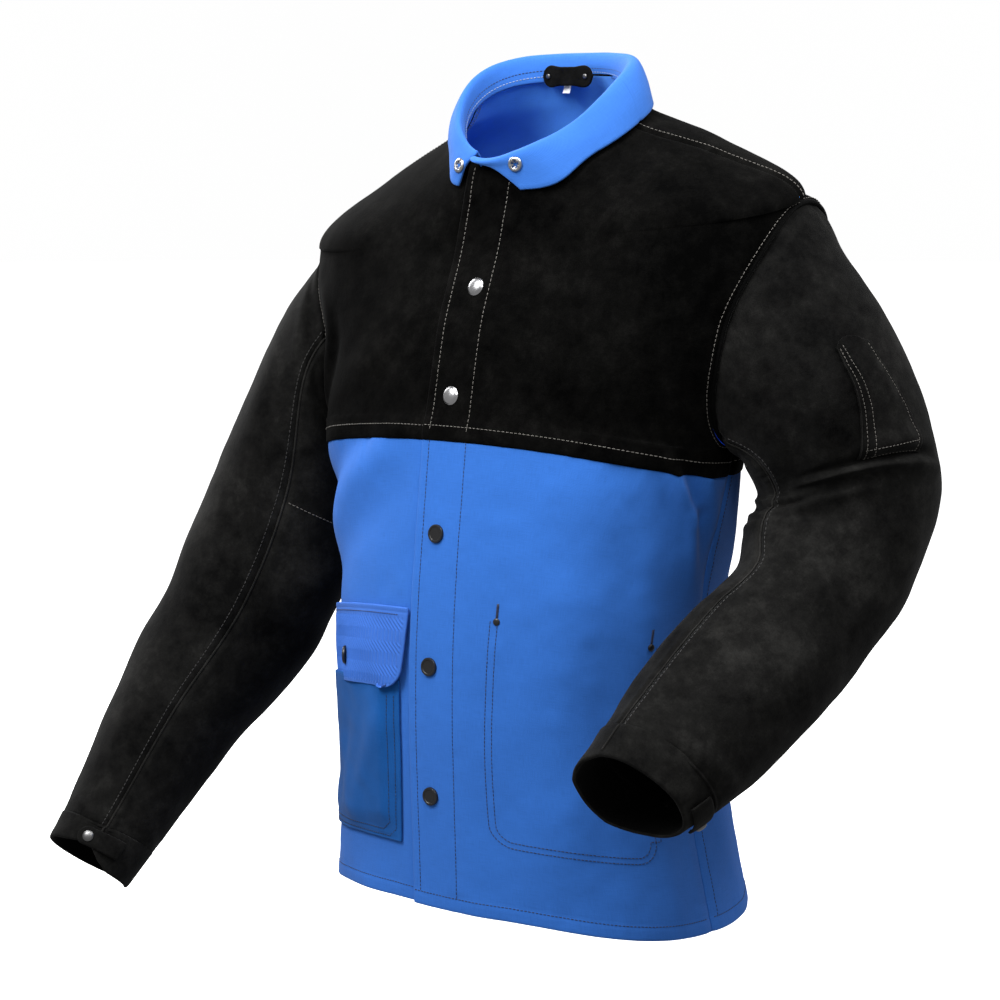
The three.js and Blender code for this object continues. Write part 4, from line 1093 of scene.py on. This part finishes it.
def flap_relief(share, at, points):
    """The flap's woven ribs, its folded top edge and the way it curls off the pocket."""
    x = (FLAP["from"] - share) * BODY_HALF_ROUND
    down = (FLAP["top"] - at) * BODY_HEIGHT
    near, far = flap_limits(at)
    edge = np.minimum(np.minimum(np.abs(share - near), np.abs(share - far)) * BODY_HALF_ROUND,
                      FLAP_HEIGHT - down)
    zigzag = np.abs(((down / 7.5) % 2) - 1) * 3.4
    ribs = np.cos(2 * math.pi * (0.86 * x + 0.5 * down + zigzag) / RIB_PITCH)
    field = smooth(5.5, 8, down) * smooth(1.5, 3, edge)
    height = 0.5 * ribs * field + 2.2 * smooth(0, 30, down) + 1.2 * noise(points, 36, 15) * smooth(0, 20,
                                                                                                   down)
    height += groove(down - 2.6, 0.25, 0.9)
    height += creases(x, down, [(10, 56, 34, 20, 12, 1.6), (96, 54, 80, 16, 16, -1.4),
                                (60, 60, 56, 30, 14, 1.0)])
    return height + 1.8 * smooth(24, 52, down) * (1 - smooth(0, 26, x))


flap = body_panel(np.linspace(FLAP["bottom"], FLAP["top"], 150), flap_limits, 260, FRONT,
                  lambda s, t, p: 0.5 * under_right(s, t, p) + flap_relief(s, t, p), 4.2)
panels["flap"] = flap
TOP_OF_FLAP = flap.at(-0.4, FLAP["top"])[0] * MM
BEND_OF_FLAP = flap.at(-0.4, FLAP["top"] - 22 / BODY_HEIGHT)[0] * MM


def flap_piece(obj, slot, *nodes):
    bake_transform(obj)
    if nodes:
        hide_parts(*nodes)
    return obj


flap_piece(panel_shell("pocket_flap_cotton", flap, 2.2, (FLAP_COTTON,)), "flap_cotton", "pocket_flap")
flap_piece(stitches("pocket_flap_stitches", [
    line("flap", np.linspace(-0.095, -0.705, 90), np.full(90, FLAP["top"] - 4.5 / BODY_HEIGHT)),
], NAVY_THREAD, pitch=3.0, length=2.4), "flap_cotton")

# ------------------------------------------------------------------ snaps
for index, station in enumerate(SNAP_STATIONS):
    on_leather = index < LEATHER_SNAPS
    part = "yoke" if on_leather else "panel"
    place, normal = (v[0] for v in line(f"left_front_{part}", [0.0], [station], 0.0))
    profile = domed(SNAP_RADIUS, 3.4) if on_leather else flat_cap(SNAP_RADIUS, 2.3)
    cap = turned(f"snap_cap_{index + 1}_metal", place, normal, profile,
                 NICKEL if on_leather else BLACK_METAL)
    jacket_piece(cap, "bright_snap" if on_leather else "dark_snap", f"snap_cap_{index + 1}",
                 body="left_front")
    place, normal = (v[0] for v in line(f"right_front_{part}", [0.0], [station], 0.0))
    low = turned(f"snap_stud_{index + 1}_metal", place, normal, stud(5.5, 2.0), NICKEL)
    jacket_piece(low, "bright_snap", f"snap_stud_{index + 1}")
place, normal = (v[0] for v in line("flap", [FLAP_SNAP[0]], [FLAP_SNAP[1]], 0.0))
jacket_piece(turned("flap_snap_cap_metal", place, normal, flat_cap(SNAP_RADIUS, 2.3), BLACK_METAL),
             "dark_snap", "flap_snap_cap", body="flap")
place, normal = (v[0] for v in line("right_front_panel", [FLAP_SNAP[0]], [FLAP_SNAP[1]], 0.0))
jacket_piece(turned("flap_snap_stud_metal", place, normal, stud(5.5, 2.0), NICKEL), "bright_snap",
             "flap_snap_stud")


# ------------------------------------------------------------------ collar
LAP_WAY = np.array([0, -0.8, 0.6])
COLLAR_TUCK = 6.0
LEAF_DROP = 6.0


def lap_lift(points, left):
    """How much further out the collar lies where the placket is under it."""
    under = left & (points[..., 1] < 0)
    return np.where(under, PLACKET_LIFT * (1 - smooth(20, 75, points[..., 0])), 0)[:, None]


def collar_points(turns, runs):
    """The folded collar: turn is 0 at the left front, 1 at the back, 2 at the right front, and run goes
    from the neck seam over the fold to the leaf's edge."""
    left = turns <= 1
    side = np.where(left, 1.0, -1.0)
    away = np.where(left, turns, 2 - turns)
    on_front = away < 0.5
    half = np.where(on_front, -1.0, 1.0)
    start, tip, front, beside = (np.where(left, a, b) for a, b in zip(LEFT_LEAF, RIGHT_LEAF))
    seam_share = np.where(on_front, start + (1 - start) * 2 * away, 2 - 2 * away)
    leaf_share = np.where(on_front, tip + (1 - tip) * 2 * away, 2 - 2 * away)
    side_station = front + (beside - front) * smooth(0, np.where(left, 0.3, 0.24), away)
    leaf_station = side_station + (LEFT_LEAF[3] - side_station) * smooth(0.5, 1, away)
    seam = body_point(side * seam_share, NECK + 0 * turns, half)
    below = body_point(side * seam_share, NECK - 0.02 + 0 * turns, half)
    edge = body_point(side * leaf_share, leaf_station, half)
    middle = body_point(side * (seam_share + leaf_share) / 2, (NECK + leaf_station) / 2, half)
    sideways = unit((edge - seam) * (1, 1, 0))
    turn_in = smooth(0.04, 0.4, away)[:, None]
    outward = unit(np.array([0, -1.0, 0]) * (1 - turn_in) + sideways * turn_in)
    bulk = np.where(left, 1.0, 0.55 + 0.45 * smooth(0.5, 0.95, away))[:, None]
    up = np.array([0, 0, 1.0])
    stand = (COLLAR_STAND_FRONT + (COLLAR_STAND_BACK - COLLAR_STAND_FRONT) * smooth(0, 0.55,
                                                                                    away))[:, None] * up
    rise = unit(seam - below)
    seam, edge, middle = (p + LAP_WAY * lap_lift(p, left) for p in (seam, edge, middle))
    seam = seam - rise * np.where(left, LEAF_DROP * (1 - smooth(0, 0.22, away)), 0)[:, None]
    tuck = np.where(left, 0.6 + (COLLAR_TUCK - 0.6) * smooth(20, 75, seam[:, 0]), COLLAR_TUCK)[:, None]
    foot = seam - tuck * (outward + rise)
    top = seam + 2.2 * rise
    fold_in = top + stand + 3.5 * bulk * outward
    fold = top + stand + 7.0 * bulk * outward + 2 * up
    fold_out = fold_in + 7.5 * bulk * outward
    leaf_edge = edge + COLLAR_CLEARANCE * up + 0.5 * COLLAR_CLEARANCE * outward
    leaf_middle = (fold_out + leaf_edge) / 2 + 1.5 * outward
    leaf_middle[:, 2] = np.maximum(leaf_middle[:, 2], middle[:, 2] + COLLAR_CLEARANCE + 1.5) + 1.5
    points = np.array([foot, top + 0.4 * stand, fold_in, fold, fold_out, leaf_middle, leaf_edge])
    return through(points, runs).transpose(1, 0, 2)


COLLAR_RUNS = np.concatenate([np.linspace(0, 0.3, 9)[:-1], np.linspace(0.3, 0.7, 15)[:-1],
                              np.linspace(0.7, 1, 12)])
COLLAR_THICKNESS = 2.8


def collar_grid(low, high):
    turns = np.linspace(low, high, steps((high - low) * 230))
    grid = collar_points(turns, COLLAR_RUNS)
    normals = unit(np.cross(np.gradient(grid, axis=0), np.gradient(grid, axis=1)))
    if normals[:, -4:, 2].mean() < 0:
        normals = -normals
    ripple = 0.9 * noise(grid, 52, 21) + 0.35 * noise(grid, 20, 22)
    grid = grid + normals * (ripple * smooth(0.0, 0.5, COLLAR_RUNS)[None])[..., None]
    return grid, normals


def collar_shell(name, low, high, square):
    grid, normals = collar_grid(low, high)
    half = COLLAR_THICKNESS / 2
    outer, inner = grid + normals * half, grid - normals * half
    return shell(name, outer.transpose(1, 0, 2), inner.transpose(1, 0, 2), (COLLAR_COTTON,),
                 square_ends=square)


SHOULDER_TURN = 0.5
jacket_piece(collar_shell("collar_cotton_right", SHOULDER_TURN, 2, ("low",)), "collar_cotton", "collar")
swinging_piece(collar_shell("collar_cotton_left", 0, SHOULDER_TURN, ("high",)), "collar_cotton",
               "collar_left")


def on_collar(turn, run):
    """A point on the collar's upper side, in mm, and its normal."""
    grid = collar_points(np.array([turn - 0.01, turn + 0.01]), np.array([run - 0.03, run, run + 0.03]))
    point = grid[:, 1].mean(0)
    down = unit(grid[:, 2].mean(0) - grid[:, 0].mean(0))
    normal = unit(np.cross(down, grid[1, 1] - grid[0, 1]))
    normal = normal if normal[1] < 0 else -normal
    return point + normal * COLLAR_THICKNESS / 2, normal


RING = [(3.5, 0.1), (3.3, 0.9), (3.7, 1.6), (4.6, 1.9), (5.6, 1.6), (6.4, 0.9), (6.5, 0.1), (6.2, -0.6),
        (3.7, -0.6)]


def prong_ring(name, point, normal, body, node):
    """An open ring snap with five prongs bent out over its rim."""
    ring = turned(name, point, normal, RING, NICKEL, closed=True, sharp=60)
    jacket_piece(ring, "bright_snap", node, body=body)
    side = unit(np.cross(normal, [0.3, 0.8, 0.2]))
    across = np.cross(normal, side)
    for k in range(5):
        turn = 2 * math.pi * k / 5 + 0.3
        way = side * math.cos(turn) + across * math.sin(turn)
        wide = np.cross(normal, way)
        rows = np.array([[point + way * r + wide * w * (1.3 - 0.16 * r) * 1.2 + normal * h
                          for w in np.linspace(-0.5, 0.5, 5)] for r, h in
                         zip(np.linspace(1.6, 4.6, 8), (0.5, 0.9, 1.3, 1.7, 2.0, 2.25, 2.3, 2.1))])
        prong = shell(f"{name}_prong_{k + 1}", rows, rows - normal * 0.4, (NICKEL,))
        jacket_piece(prong, "bright_snap", body=body)


left_ring, left_normal = on_collar(0.085, 0.8)
right_ring, right_normal = on_collar(1.975, 0.86)
prong_ring("collar_ring_left_metal", left_ring, left_normal, "left_front", "collar_ring_left")
prong_ring("collar_ring_right_metal", right_ring, right_normal, "jacket", "collar_ring_right")

inner_band = [collar_points(np.linspace(0.56, 1.9, 260), np.array([run])) for run in (0.05, 0.12)]
band_lines = []
for grid in inner_band:
    points = grid[:, 0]
    inward = unit((points.mean(0) - points) * (1, 1, 0))
    band_lines.append((points + inward * (COLLAR_THICKNESS / 2 + 0.1), inward))
jacket_piece(stitches("collar_band_stitches", band_lines[:1], PALE_THREAD, pitch=3.2, length=2.4),
             "collar_cotton")
jacket_piece(stitches("collar_band_stitches_navy", band_lines[1:], NAVY_THREAD, pitch=3.2, length=2.4),
             "collar_cotton")

lining = []
for share in (-0.9, -0.93):
    points, normals = line("back_yoke", np.full(160, share), np.linspace(0.7, 0.992, 160), 0.0)
    lining.append((points - normals * (LEATHER + 0.1), -normals))
jacket_piece(stitches("lining_seam_stitches", lining, PALE_THREAD, pitch=3.2, length=2.4), "black_suede")

# ------------------------------------------------------------------ hanger loop and size tab
LOOP_HALF, LOOP_END, LOOP_WAIST = 27.5, 8.5, 7.2


def loop_height(x):
    body = LOOP_WAIST + (LOOP_END - LOOP_WAIST) * smooth(7, 18, np.abs(x))
    past = np.clip((np.abs(x) - (LOOP_HALF - LOOP_END)) / LOOP_END, 0, 1)
    return np.minimum(body, LOOP_END) * np.sqrt(np.clip(1 - past * past, 0.006, 1))


def turned_z(vector, angle):
    c, s = math.cos(angle), math.sin(angle)
    x, y, z = np.moveaxis(np.asarray(vector, float), -1, 0)
    return np.stack([c * x - s * y, s * x + c * y, z], axis=-1)


loop_x = LOOP_HALF * np.sin(np.linspace(-math.pi / 2, math.pi / 2, 60))
loop_v = np.linspace(-1, 1, 17)
loop_grid = np.zeros((len(loop_x), len(loop_v), 3))
loop_grid[..., 0] = loop_x[:, None]
loop_grid[..., 1] = (-1.6 * np.cos(loop_x / LOOP_HALF * math.pi / 2) ** 2)[:, None]
loop_grid[..., 2] = loop_height(loop_x)[:, None] * loop_v[None]
loop_front = turned_z(loop_grid, LOOP_TURN) + LOOP_PLACE
front_way = turned_z([0, -1, 0], LOOP_TURN)
along_way = turned_z([1, 0, 0], LOOP_TURN)
jacket_piece(shell("hanger_loop_suede", loop_front, loop_front - front_way * 2.2, (BLACK_SUEDE,)),
             "black_suede", "hanger_loop")
for index, side in enumerate((-1, 1)):
    foot = LOOP_PLACE + along_way * side * LOOP_RIVET_SPACING / 2 + front_way * 0.6
    jacket_piece(turned(f"loop_rivet_{index + 1}_metal", foot, front_way, domed(2.2, 1.2), DARK_NICKEL),
                 "dark_snap", f"loop_rivet_{index + 1}")
tab_x, tab_z = np.meshgrid(np.linspace(-4, 4, 14), np.linspace(-4.5, 4.5, 18))
tab_y = 0.5 * np.sin(tab_x * 0.5) + 0.02 * (tab_z - 5.5) ** 2
tab_grid = turned_z(np.stack([tab_x, -tab_y, tab_z], axis=-1), LOOP_TURN) + (-6, 36.5, -12)
jacket_piece(shell("size_tab_tape", tab_grid, tab_grid - front_way * 0.6, (WHITE_TAPE,)), "white_tape",
             "size_tab")


# ------------------------------------------------------------------ sleeves
# how much further than its even end each cuff reaches at some angles, in mm
CUFF_REACH = {
    "right": [(0, -2), (50, -4), (75, -7), (88, -5), (102, 3), (120, 9), (180, 10), (210, 4), (240, 0),
              (360, -2)],
    "left": [(0, 2), (60, 0), (150, 0), (180, 7), (205, 13), (270, 14), (310, 6), (360, 2)],
}


def sleeve_parts(word, sleeve, folds):
    """One sleeve: its two skins, its cuff, the rim and welts on them and the seam hidden in the armhole."""
    front, back = sleeve["front_seam"], sleeve["back_seam"]
    runs = np.linspace(0, CUFF_START + 0.004, steps(CUFF_START * SLEEVE_LENGTH))
    for part, low, high in (("outer", back - 360, front), ("under", front, back)):
        columns = steps((high - low) / 360 * SLEEVE_ROUND)
        panel = sleeve_panel(sleeve, runs, low, high, columns, sleeve_relief(folds, low, high))
        node = f"{word}_sleeve_{part}"
        # the skin's near-black inner face is painted shade
        jacket_piece(panel_shell(f"{node}_suede", panel, LEATHER, (BLACK_SUEDE, SHADED_BLACK_INSIDE)),
                     "black_suede", node)
        panels[node] = panel
    rounds = np.linspace(0, 360, steps(300), endpoint=False)
    cuff_runs = np.linspace(CUFF_START, 1, 22)
    grid = sleeve_point(sleeve, rounds, cuff_runs)
    middle = grid.mean(axis=1, keepdims=True)
    out = unit(grid - middle)
    y = np.broadcast_to((cuff_runs[:, None] - CUFF_START) * SLEEVE_LENGTH, grid.shape[:2])
    height = 1.4 * noise(grid, 60, 31) + 0.6 * noise(grid, 24, 32) + 0.4 * groove(y - 4, 0.4)
    height += 1.8 * noise(grid, 34, 33) * smooth(20, 60, y)
    reach = np.interp(rounds, *zip(*CUFF_REACH[word]))
    run_way = unit(grid[-1] - grid[0])
    grid = grid + run_way[None] * (reach[None] * smooth(10, 60, y))[..., None]
    grid = grid + out * height[..., None]
    # the cuff's near-black inner face is painted shade
    cuff = shell(f"{word}_cuff_suede", grid, grid - out * 3.4, (BLACK_SUEDE, SHADED_BLACK_INSIDE), closed=True)
    jacket_piece(cuff, "black_suede", f"{word}_cuff")
    # the rim's lighter suede is a painted highlight along the cuff opening's edge
    rim = tube(f"{word}_cuff_rim", grid[-1] - out[-1] * 1.0, out[-1], 1.6, 1.6, HIGHLIGHT_SUEDE, closed=True)
    jacket_piece(rim, "black_suede")
    for place, seam in (("front", front), ("back", back)):
        part = "outer" if place == "front" else "under"
        points, normals = panels[f"{word}_sleeve_{part}"].at(np.full(300, seam),
                                                             np.linspace(0.02, CUFF_START, 300), 0.9)
        column = int(round(seam / 360 * len(rounds))) % len(rounds)
        points = np.concatenate([points, grid[1:-1:2, column] + out[1:-1:2, column] * 0.4])
        normals = np.concatenate([normals, out[1:-1:2, column]])
        # the welt's lighter suede is a painted highlight along the seam's ridge
        welt = tube(f"{word}_sleeve_{place}_welt", points, normals, 2.2, 1.6, HIGHLIGHT_SUEDE)
        jacket_piece(welt, "black_suede")
    turns = np.linspace(0, 360, 300, endpoint=False)
    edge = armhole_point(turns, sleeve["side"])
    inward = unit(edge.mean(0) - edge)
    # the hidden armhole seam's near-black suede is painted shade
    hidden = tube(f"{word}_armhole_seam", edge + inward * 2.4 - (sleeve["side"] * 0.6, 0, 0), inward, 5.2,
                  4.6,
                  SHADED_BLACK_INSIDE, closed=True)
    jacket_piece(hidden, "black_suede")


sleeve_parts("right", RIGHT_SLEEVE, RIGHT_SLEEVE_FOLDS)
sleeve_parts("left", LEFT_SLEEVE, LEFT_SLEEVE_FOLDS)


def sleeve_column(word, part, degrees, low, high, count=220):
    return panels[f"{word}_sleeve_{part}"].at(np.full(count, degrees), np.linspace(low, high, count), 0.1)


def sleeve_ring(word, part, low, high, run_low, run_high, count=120):
    return panels[f"{word}_sleeve_{part}"].at(np.linspace(low, high, count),
                                              np.linspace(run_low, run_high, count), 0.1)


jacket_piece(stitches("sleeve_stitches", [
    sleeve_column("right", "outer", 84.5, 0.03, 0.9), sleeve_column("left", "outer", 144.5, 0.03, 0.9),
    sleeve_column("right", "outer", -84.5, 0.03, 0.9), sleeve_column("left", "outer", -54.5, 0.03, 0.9),
], GREY_THREAD), "black_suede")
jacket_piece(stitches("gusset_stitches", [
    sleeve_ring("right", "under", 93, 180, 0.345, 0.352), sleeve_ring("left", "under", 215, 290, 0.3, 0.26),
], WHITE_THREAD), "black_suede")


# the pen pocket's edges from its mouth down, as (degrees, run) on the left sleeve
PEN_FRONT = [(67, 0.092), (71, 0.108), (73, 0.13), (76, 0.16), (81, 0.197), (86, 0.227)]
PEN_BACK = [(50, 0.112), (50, 0.135), (46, 0.165), (41, 0.195), (39, 0.225), (39, 0.262)]


def pen_places(across, down):
    """Degrees and runs of the pen pocket from its own two parameters, each from 0 to 1."""
    steps_down = np.linspace(0, 1, len(PEN_FRONT))
    front, back = ([np.interp(down, steps_down,
                              [p[k] for p in edge]) for k in (0, 1)] for edge in (PEN_FRONT, PEN_BACK))
    bow = 0.008 * np.sin(math.pi * across) * (1 - down)
    return front[0] + (back[0] - front[0]) * across, front[1] + (back[1] - front[1]) * across - bow


def pen_surface(across, down, lift):
    across, down = np.broadcast_arrays(np.asarray(across, float), np.asarray(down, float))
    degrees, runs = pen_places(across, down)
    edge = np.minimum(np.minimum(across, 1 - across) * 36, (1 - down) * 90)
    swell = 1.4 * smooth(0, 12, edge) + groove(edge - 3, 0.35)
    points, normals = panels["left_sleeve_outer"].at(degrees, runs)
    return points + normals * (2.4 + swell + lift)[..., None], normals


pen_across, pen_down = np.meshgrid(np.linspace(0, 1, 34), np.linspace(0, 1, 64))
pen_points, pen_normals = pen_surface(pen_across, pen_down, 0)
jacket_piece(shell("pen_pocket_suede", pen_points, pen_points - pen_normals * 2.2, (BLACK_SUEDE,)),
             "black_suede", "pen_pocket")
outline = [(0.0, v) for v in np.linspace(0, 1, 60)] + [(u, 1.0) for u in np.linspace(0, 1, 30)]
edge_points, edge_normals = pen_surface(*np.array(outline).T, -0.5)
# the edge's lighter suede is a painted highlight
jacket_piece(tube("pen_pocket_edge", edge_points, edge_normals, 0.9, 1.6, HIGHLIGHT_SUEDE), "black_suede")
pen_runs = np.linspace(0.03, 0.965, 90)
jacket_piece(stitches("pen_pocket_stitches", [
    pen_surface(0.08, pen_runs, 0.1), pen_surface(0.2, pen_runs, 0.1),
    pen_surface(0.93, pen_runs, 0.1),
    pen_surface(np.linspace(0.05, 0.95, 60), 0.965, 0.1), pen_surface(np.linspace(0.05, 0.95, 60), 0.88,
                                                                      0.1),
], WHITE_THREAD, pitch=3.4, length=2.3, radius=0.3), "black_suede")


def cuff_tab(word, sleeve):
    """The strap on a cuff, with its snap, which rides on the tab's body."""
    degrees = sleeve["tab_end"] + np.linspace(0, TAB["reach"], 60)
    runs = np.linspace(TAB["low"], TAB["high"], 26)
    base = sleeve_point(sleeve, degrees, runs)
    out = unit(base - sleeve_point(sleeve, np.linspace(0, 360, 40, endpoint=False),
                                   runs).mean(axis=1, keepdims=True))
    across = np.linspace(-1, 1, len(runs))[:, None]
    part = np.linspace(0, 1, len(degrees))[None]
    round_end = np.sqrt(np.clip(1 - np.clip((0.16 - part) / 0.16, 0, 1) ** 2 * 0.9, 0.05, 1))
    middle = base[len(runs) // 2][None]
    grid = middle + (base - middle) * round_end[..., None] + out * (3.6 + 0.4 * (1 - across ** 4))[...,
                                                                                                   None]
    name = f"{word}_cuff_tab"
    strap = shell(f"{name}_suede", grid, grid - out * 2.2, (BLACK_SUEDE,))
    body = f"{word}_tab"
    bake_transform(strap)
    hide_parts(name)
    place = grid[len(runs) // 2, 13]
    normal = unit(np.cross(grid[len(runs) // 2, 14] - place, grid[len(runs) // 2 + 1, 13] - place))
    normal = normal if (normal * out[len(runs) // 2, 13]).sum() > 0 else -normal
    snap = turned(f"{word}_cuff_snap_metal", place, normal, domed(5, 2.2), DARK_NICKEL)
    jacket_piece(snap, "bright_snap", f"{word}_cuff_snap", body=body)


cuff_tab("right", RIGHT_SLEEVE)
cuff_tab("left", LEFT_SLEEVE)

# ------------------------------------------------------------------ camera, lights and floor
CAMERA_AZIMUTH, CAMERA_ELEVATION = math.radians(38), math.radians(7)
CAMERA_DISTANCE, CAMERA_LENS = 3.0, 122.73
CAMERA_TARGET = Vector((-0.0326, -0.0255, -0.372))


def direction(azimuth, elevation):
    return Vector((math.sin(azimuth) * math.cos(elevation), -math.cos(azimuth) * math.cos(elevation),
                   math.sin(elevation)))


back_way = direction(CAMERA_AZIMUTH, CAMERA_ELEVATION)
camera = bpy.data.objects.new("camera", bpy.data.cameras.new("camera"))
camera.data.lens = CAMERA_LENS
camera.location = CAMERA_TARGET + back_way * CAMERA_DISTANCE
camera.rotation_euler = (-back_way).to_track_quat("-Z", "Y").to_euler()
bpy.context.scene.collection.objects.link(camera)
bpy.context.scene.camera = camera

# name, azimuth and elevation in degrees, distance and size in metres, power in watts
LIGHTS = [
    ("key", -12, 46, 2.2, 1.0, 48),
    ("cross_key", 50, 38, 2.4, 0.5, 9),
    ("left_rim", 102, 58, 2.4, 1.0, 40),
    ("right_rim", 256, 30, 2.4, 1.2, 52),
    ("neck_light", 20, 74, 2.4, 0.5, 22),
]
for name, azimuth, elevation, distance, size, power in LIGHTS:
    light = bpy.data.lights.new(name, "AREA")
    light.size = size
    light.energy = power
    lamp = bpy.data.objects.new(name, light)
    way = direction(math.radians(azimuth), math.radians(elevation))
    lamp.location = CAMERA_TARGET + way * distance
    lamp.rotation_euler = way.to_track_quat("Z", "Y").to_euler()
    bpy.context.scene.collection.objects.link(lamp)

world = bpy.data.worlds.new("studio")
world.use_nodes = True
world.node_tree.nodes["Background"].inputs["Color"].default_value = (1, 1, 1, 1)
world.node_tree.nodes["Background"].inputs["Strength"].default_value = 0.34
bpy.context.scene.world = world
bpy.context.scene.view_settings.view_transform = "Standard"

FLOOR_LEVEL, FLOOR_RADIUS, FLOOR_STEPS = -0.86, 14, 96
SWEEP_BRIGHTNESS = 0.9
floor_rim = [(FLOOR_RADIUS * math.cos(2 * math.pi * k / FLOOR_STEPS),
              FLOOR_RADIUS * math.sin(2 * math.pi * k / FLOOR_STEPS),
              FLOOR_LEVEL) for k in range(FLOOR_STEPS)]
floor_mesh = bpy.data.meshes.new("floor")
floor_mesh.from_pydata(floor_rim, [], [list(range(FLOOR_STEPS))])
floor_finish = Finish("pale_floor", (0.96, 0.96, 0.96), 0.9)
floor_finish.color(floor_finish.ramp(floor_finish.clouds(3),
                                     [(0.3, (0.955, 0.955, 0.955)), (0.7, (0.965, 0.965, 0.965))]))
# away from the jacket the floor glows evenly, as a studio's white sweep does
sweep = floor_finish.node("ShaderNodeTexCoord").outputs["Object"]
spread = floor_finish.node("ShaderNodeVectorMath", operation="LENGTH")
floor_finish.link(sweep, spread.inputs[0])
glow = floor_finish.ramp(floor_finish.math("MULTIPLY", spread.outputs["Value"], 0.1),
                         [(0.06, (0.0, 0.0, 0.0)), (0.13, (1.0, 1.0, 1.0))])
floor_finish.link(glow, floor_finish.shader.inputs["Emission Color"])
floor_finish.shader.inputs["Emission Strength"].default_value = SWEEP_BRIGHTNESS
floor_mesh.materials.append(floor_finish.material)
floor = bpy.data.objects.new("floor", floor_mesh)
floor.visible_diffuse = floor.visible_glossy = False
bpy.context.scene.collection.objects.link(floor)

# a pale shell far round the scene, seen by the camera alone: the light comes from the lamps and the world
SKY_RADIUS, SKY_RINGS, SKY_BRIGHTNESS = 13.5, 24, 1.0
sky_verts, sky_faces = [], []
for ring in range(SKY_RINGS + 1):
    rise = math.pi * (ring / SKY_RINGS - 0.5)
    for k in range(FLOOR_STEPS):
        turn = 2 * math.pi * k / FLOOR_STEPS
        sky_verts.append((SKY_RADIUS * math.cos(rise) * math.cos(turn),
                          SKY_RADIUS * math.cos(rise) * math.sin(turn),
                          SKY_RADIUS * math.sin(rise)))
for ring in range(SKY_RINGS):
    for k in range(FLOOR_STEPS):
        n = (k + 1) % FLOOR_STEPS
        a, b = ring * FLOOR_STEPS, (ring + 1) * FLOOR_STEPS
        sky_faces.append((a + k, b + k, b + n, a + n))
sky_mesh = bpy.data.meshes.new("sky")
sky_mesh.from_pydata(sky_verts, [], sky_faces)
sky_finish = Finish("pale_sky", (0, 0, 0), 1.0, Specular_IOR_Level=0.0)
sky_finish.link(sky_finish.ramp(sky_finish.clouds(0.2),
                                [(0.3, (0.99, 0.99, 0.99)), (0.7, (1.0, 1.0, 1.0))]),
                sky_finish.shader.inputs["Emission Color"])
sky_finish.shader.inputs["Emission Strength"].default_value = SKY_BRIGHTNESS
sky_mesh.materials.append(sky_finish.material)
sky = bpy.data.objects.new("sky", sky_mesh)
bpy.context.scene.collection.objects.link(sky)
for ray in ("diffuse", "glossy", "transmission", "shadow", "volume_scatter"):
    setattr(sky, f"visible_{ray}", False)
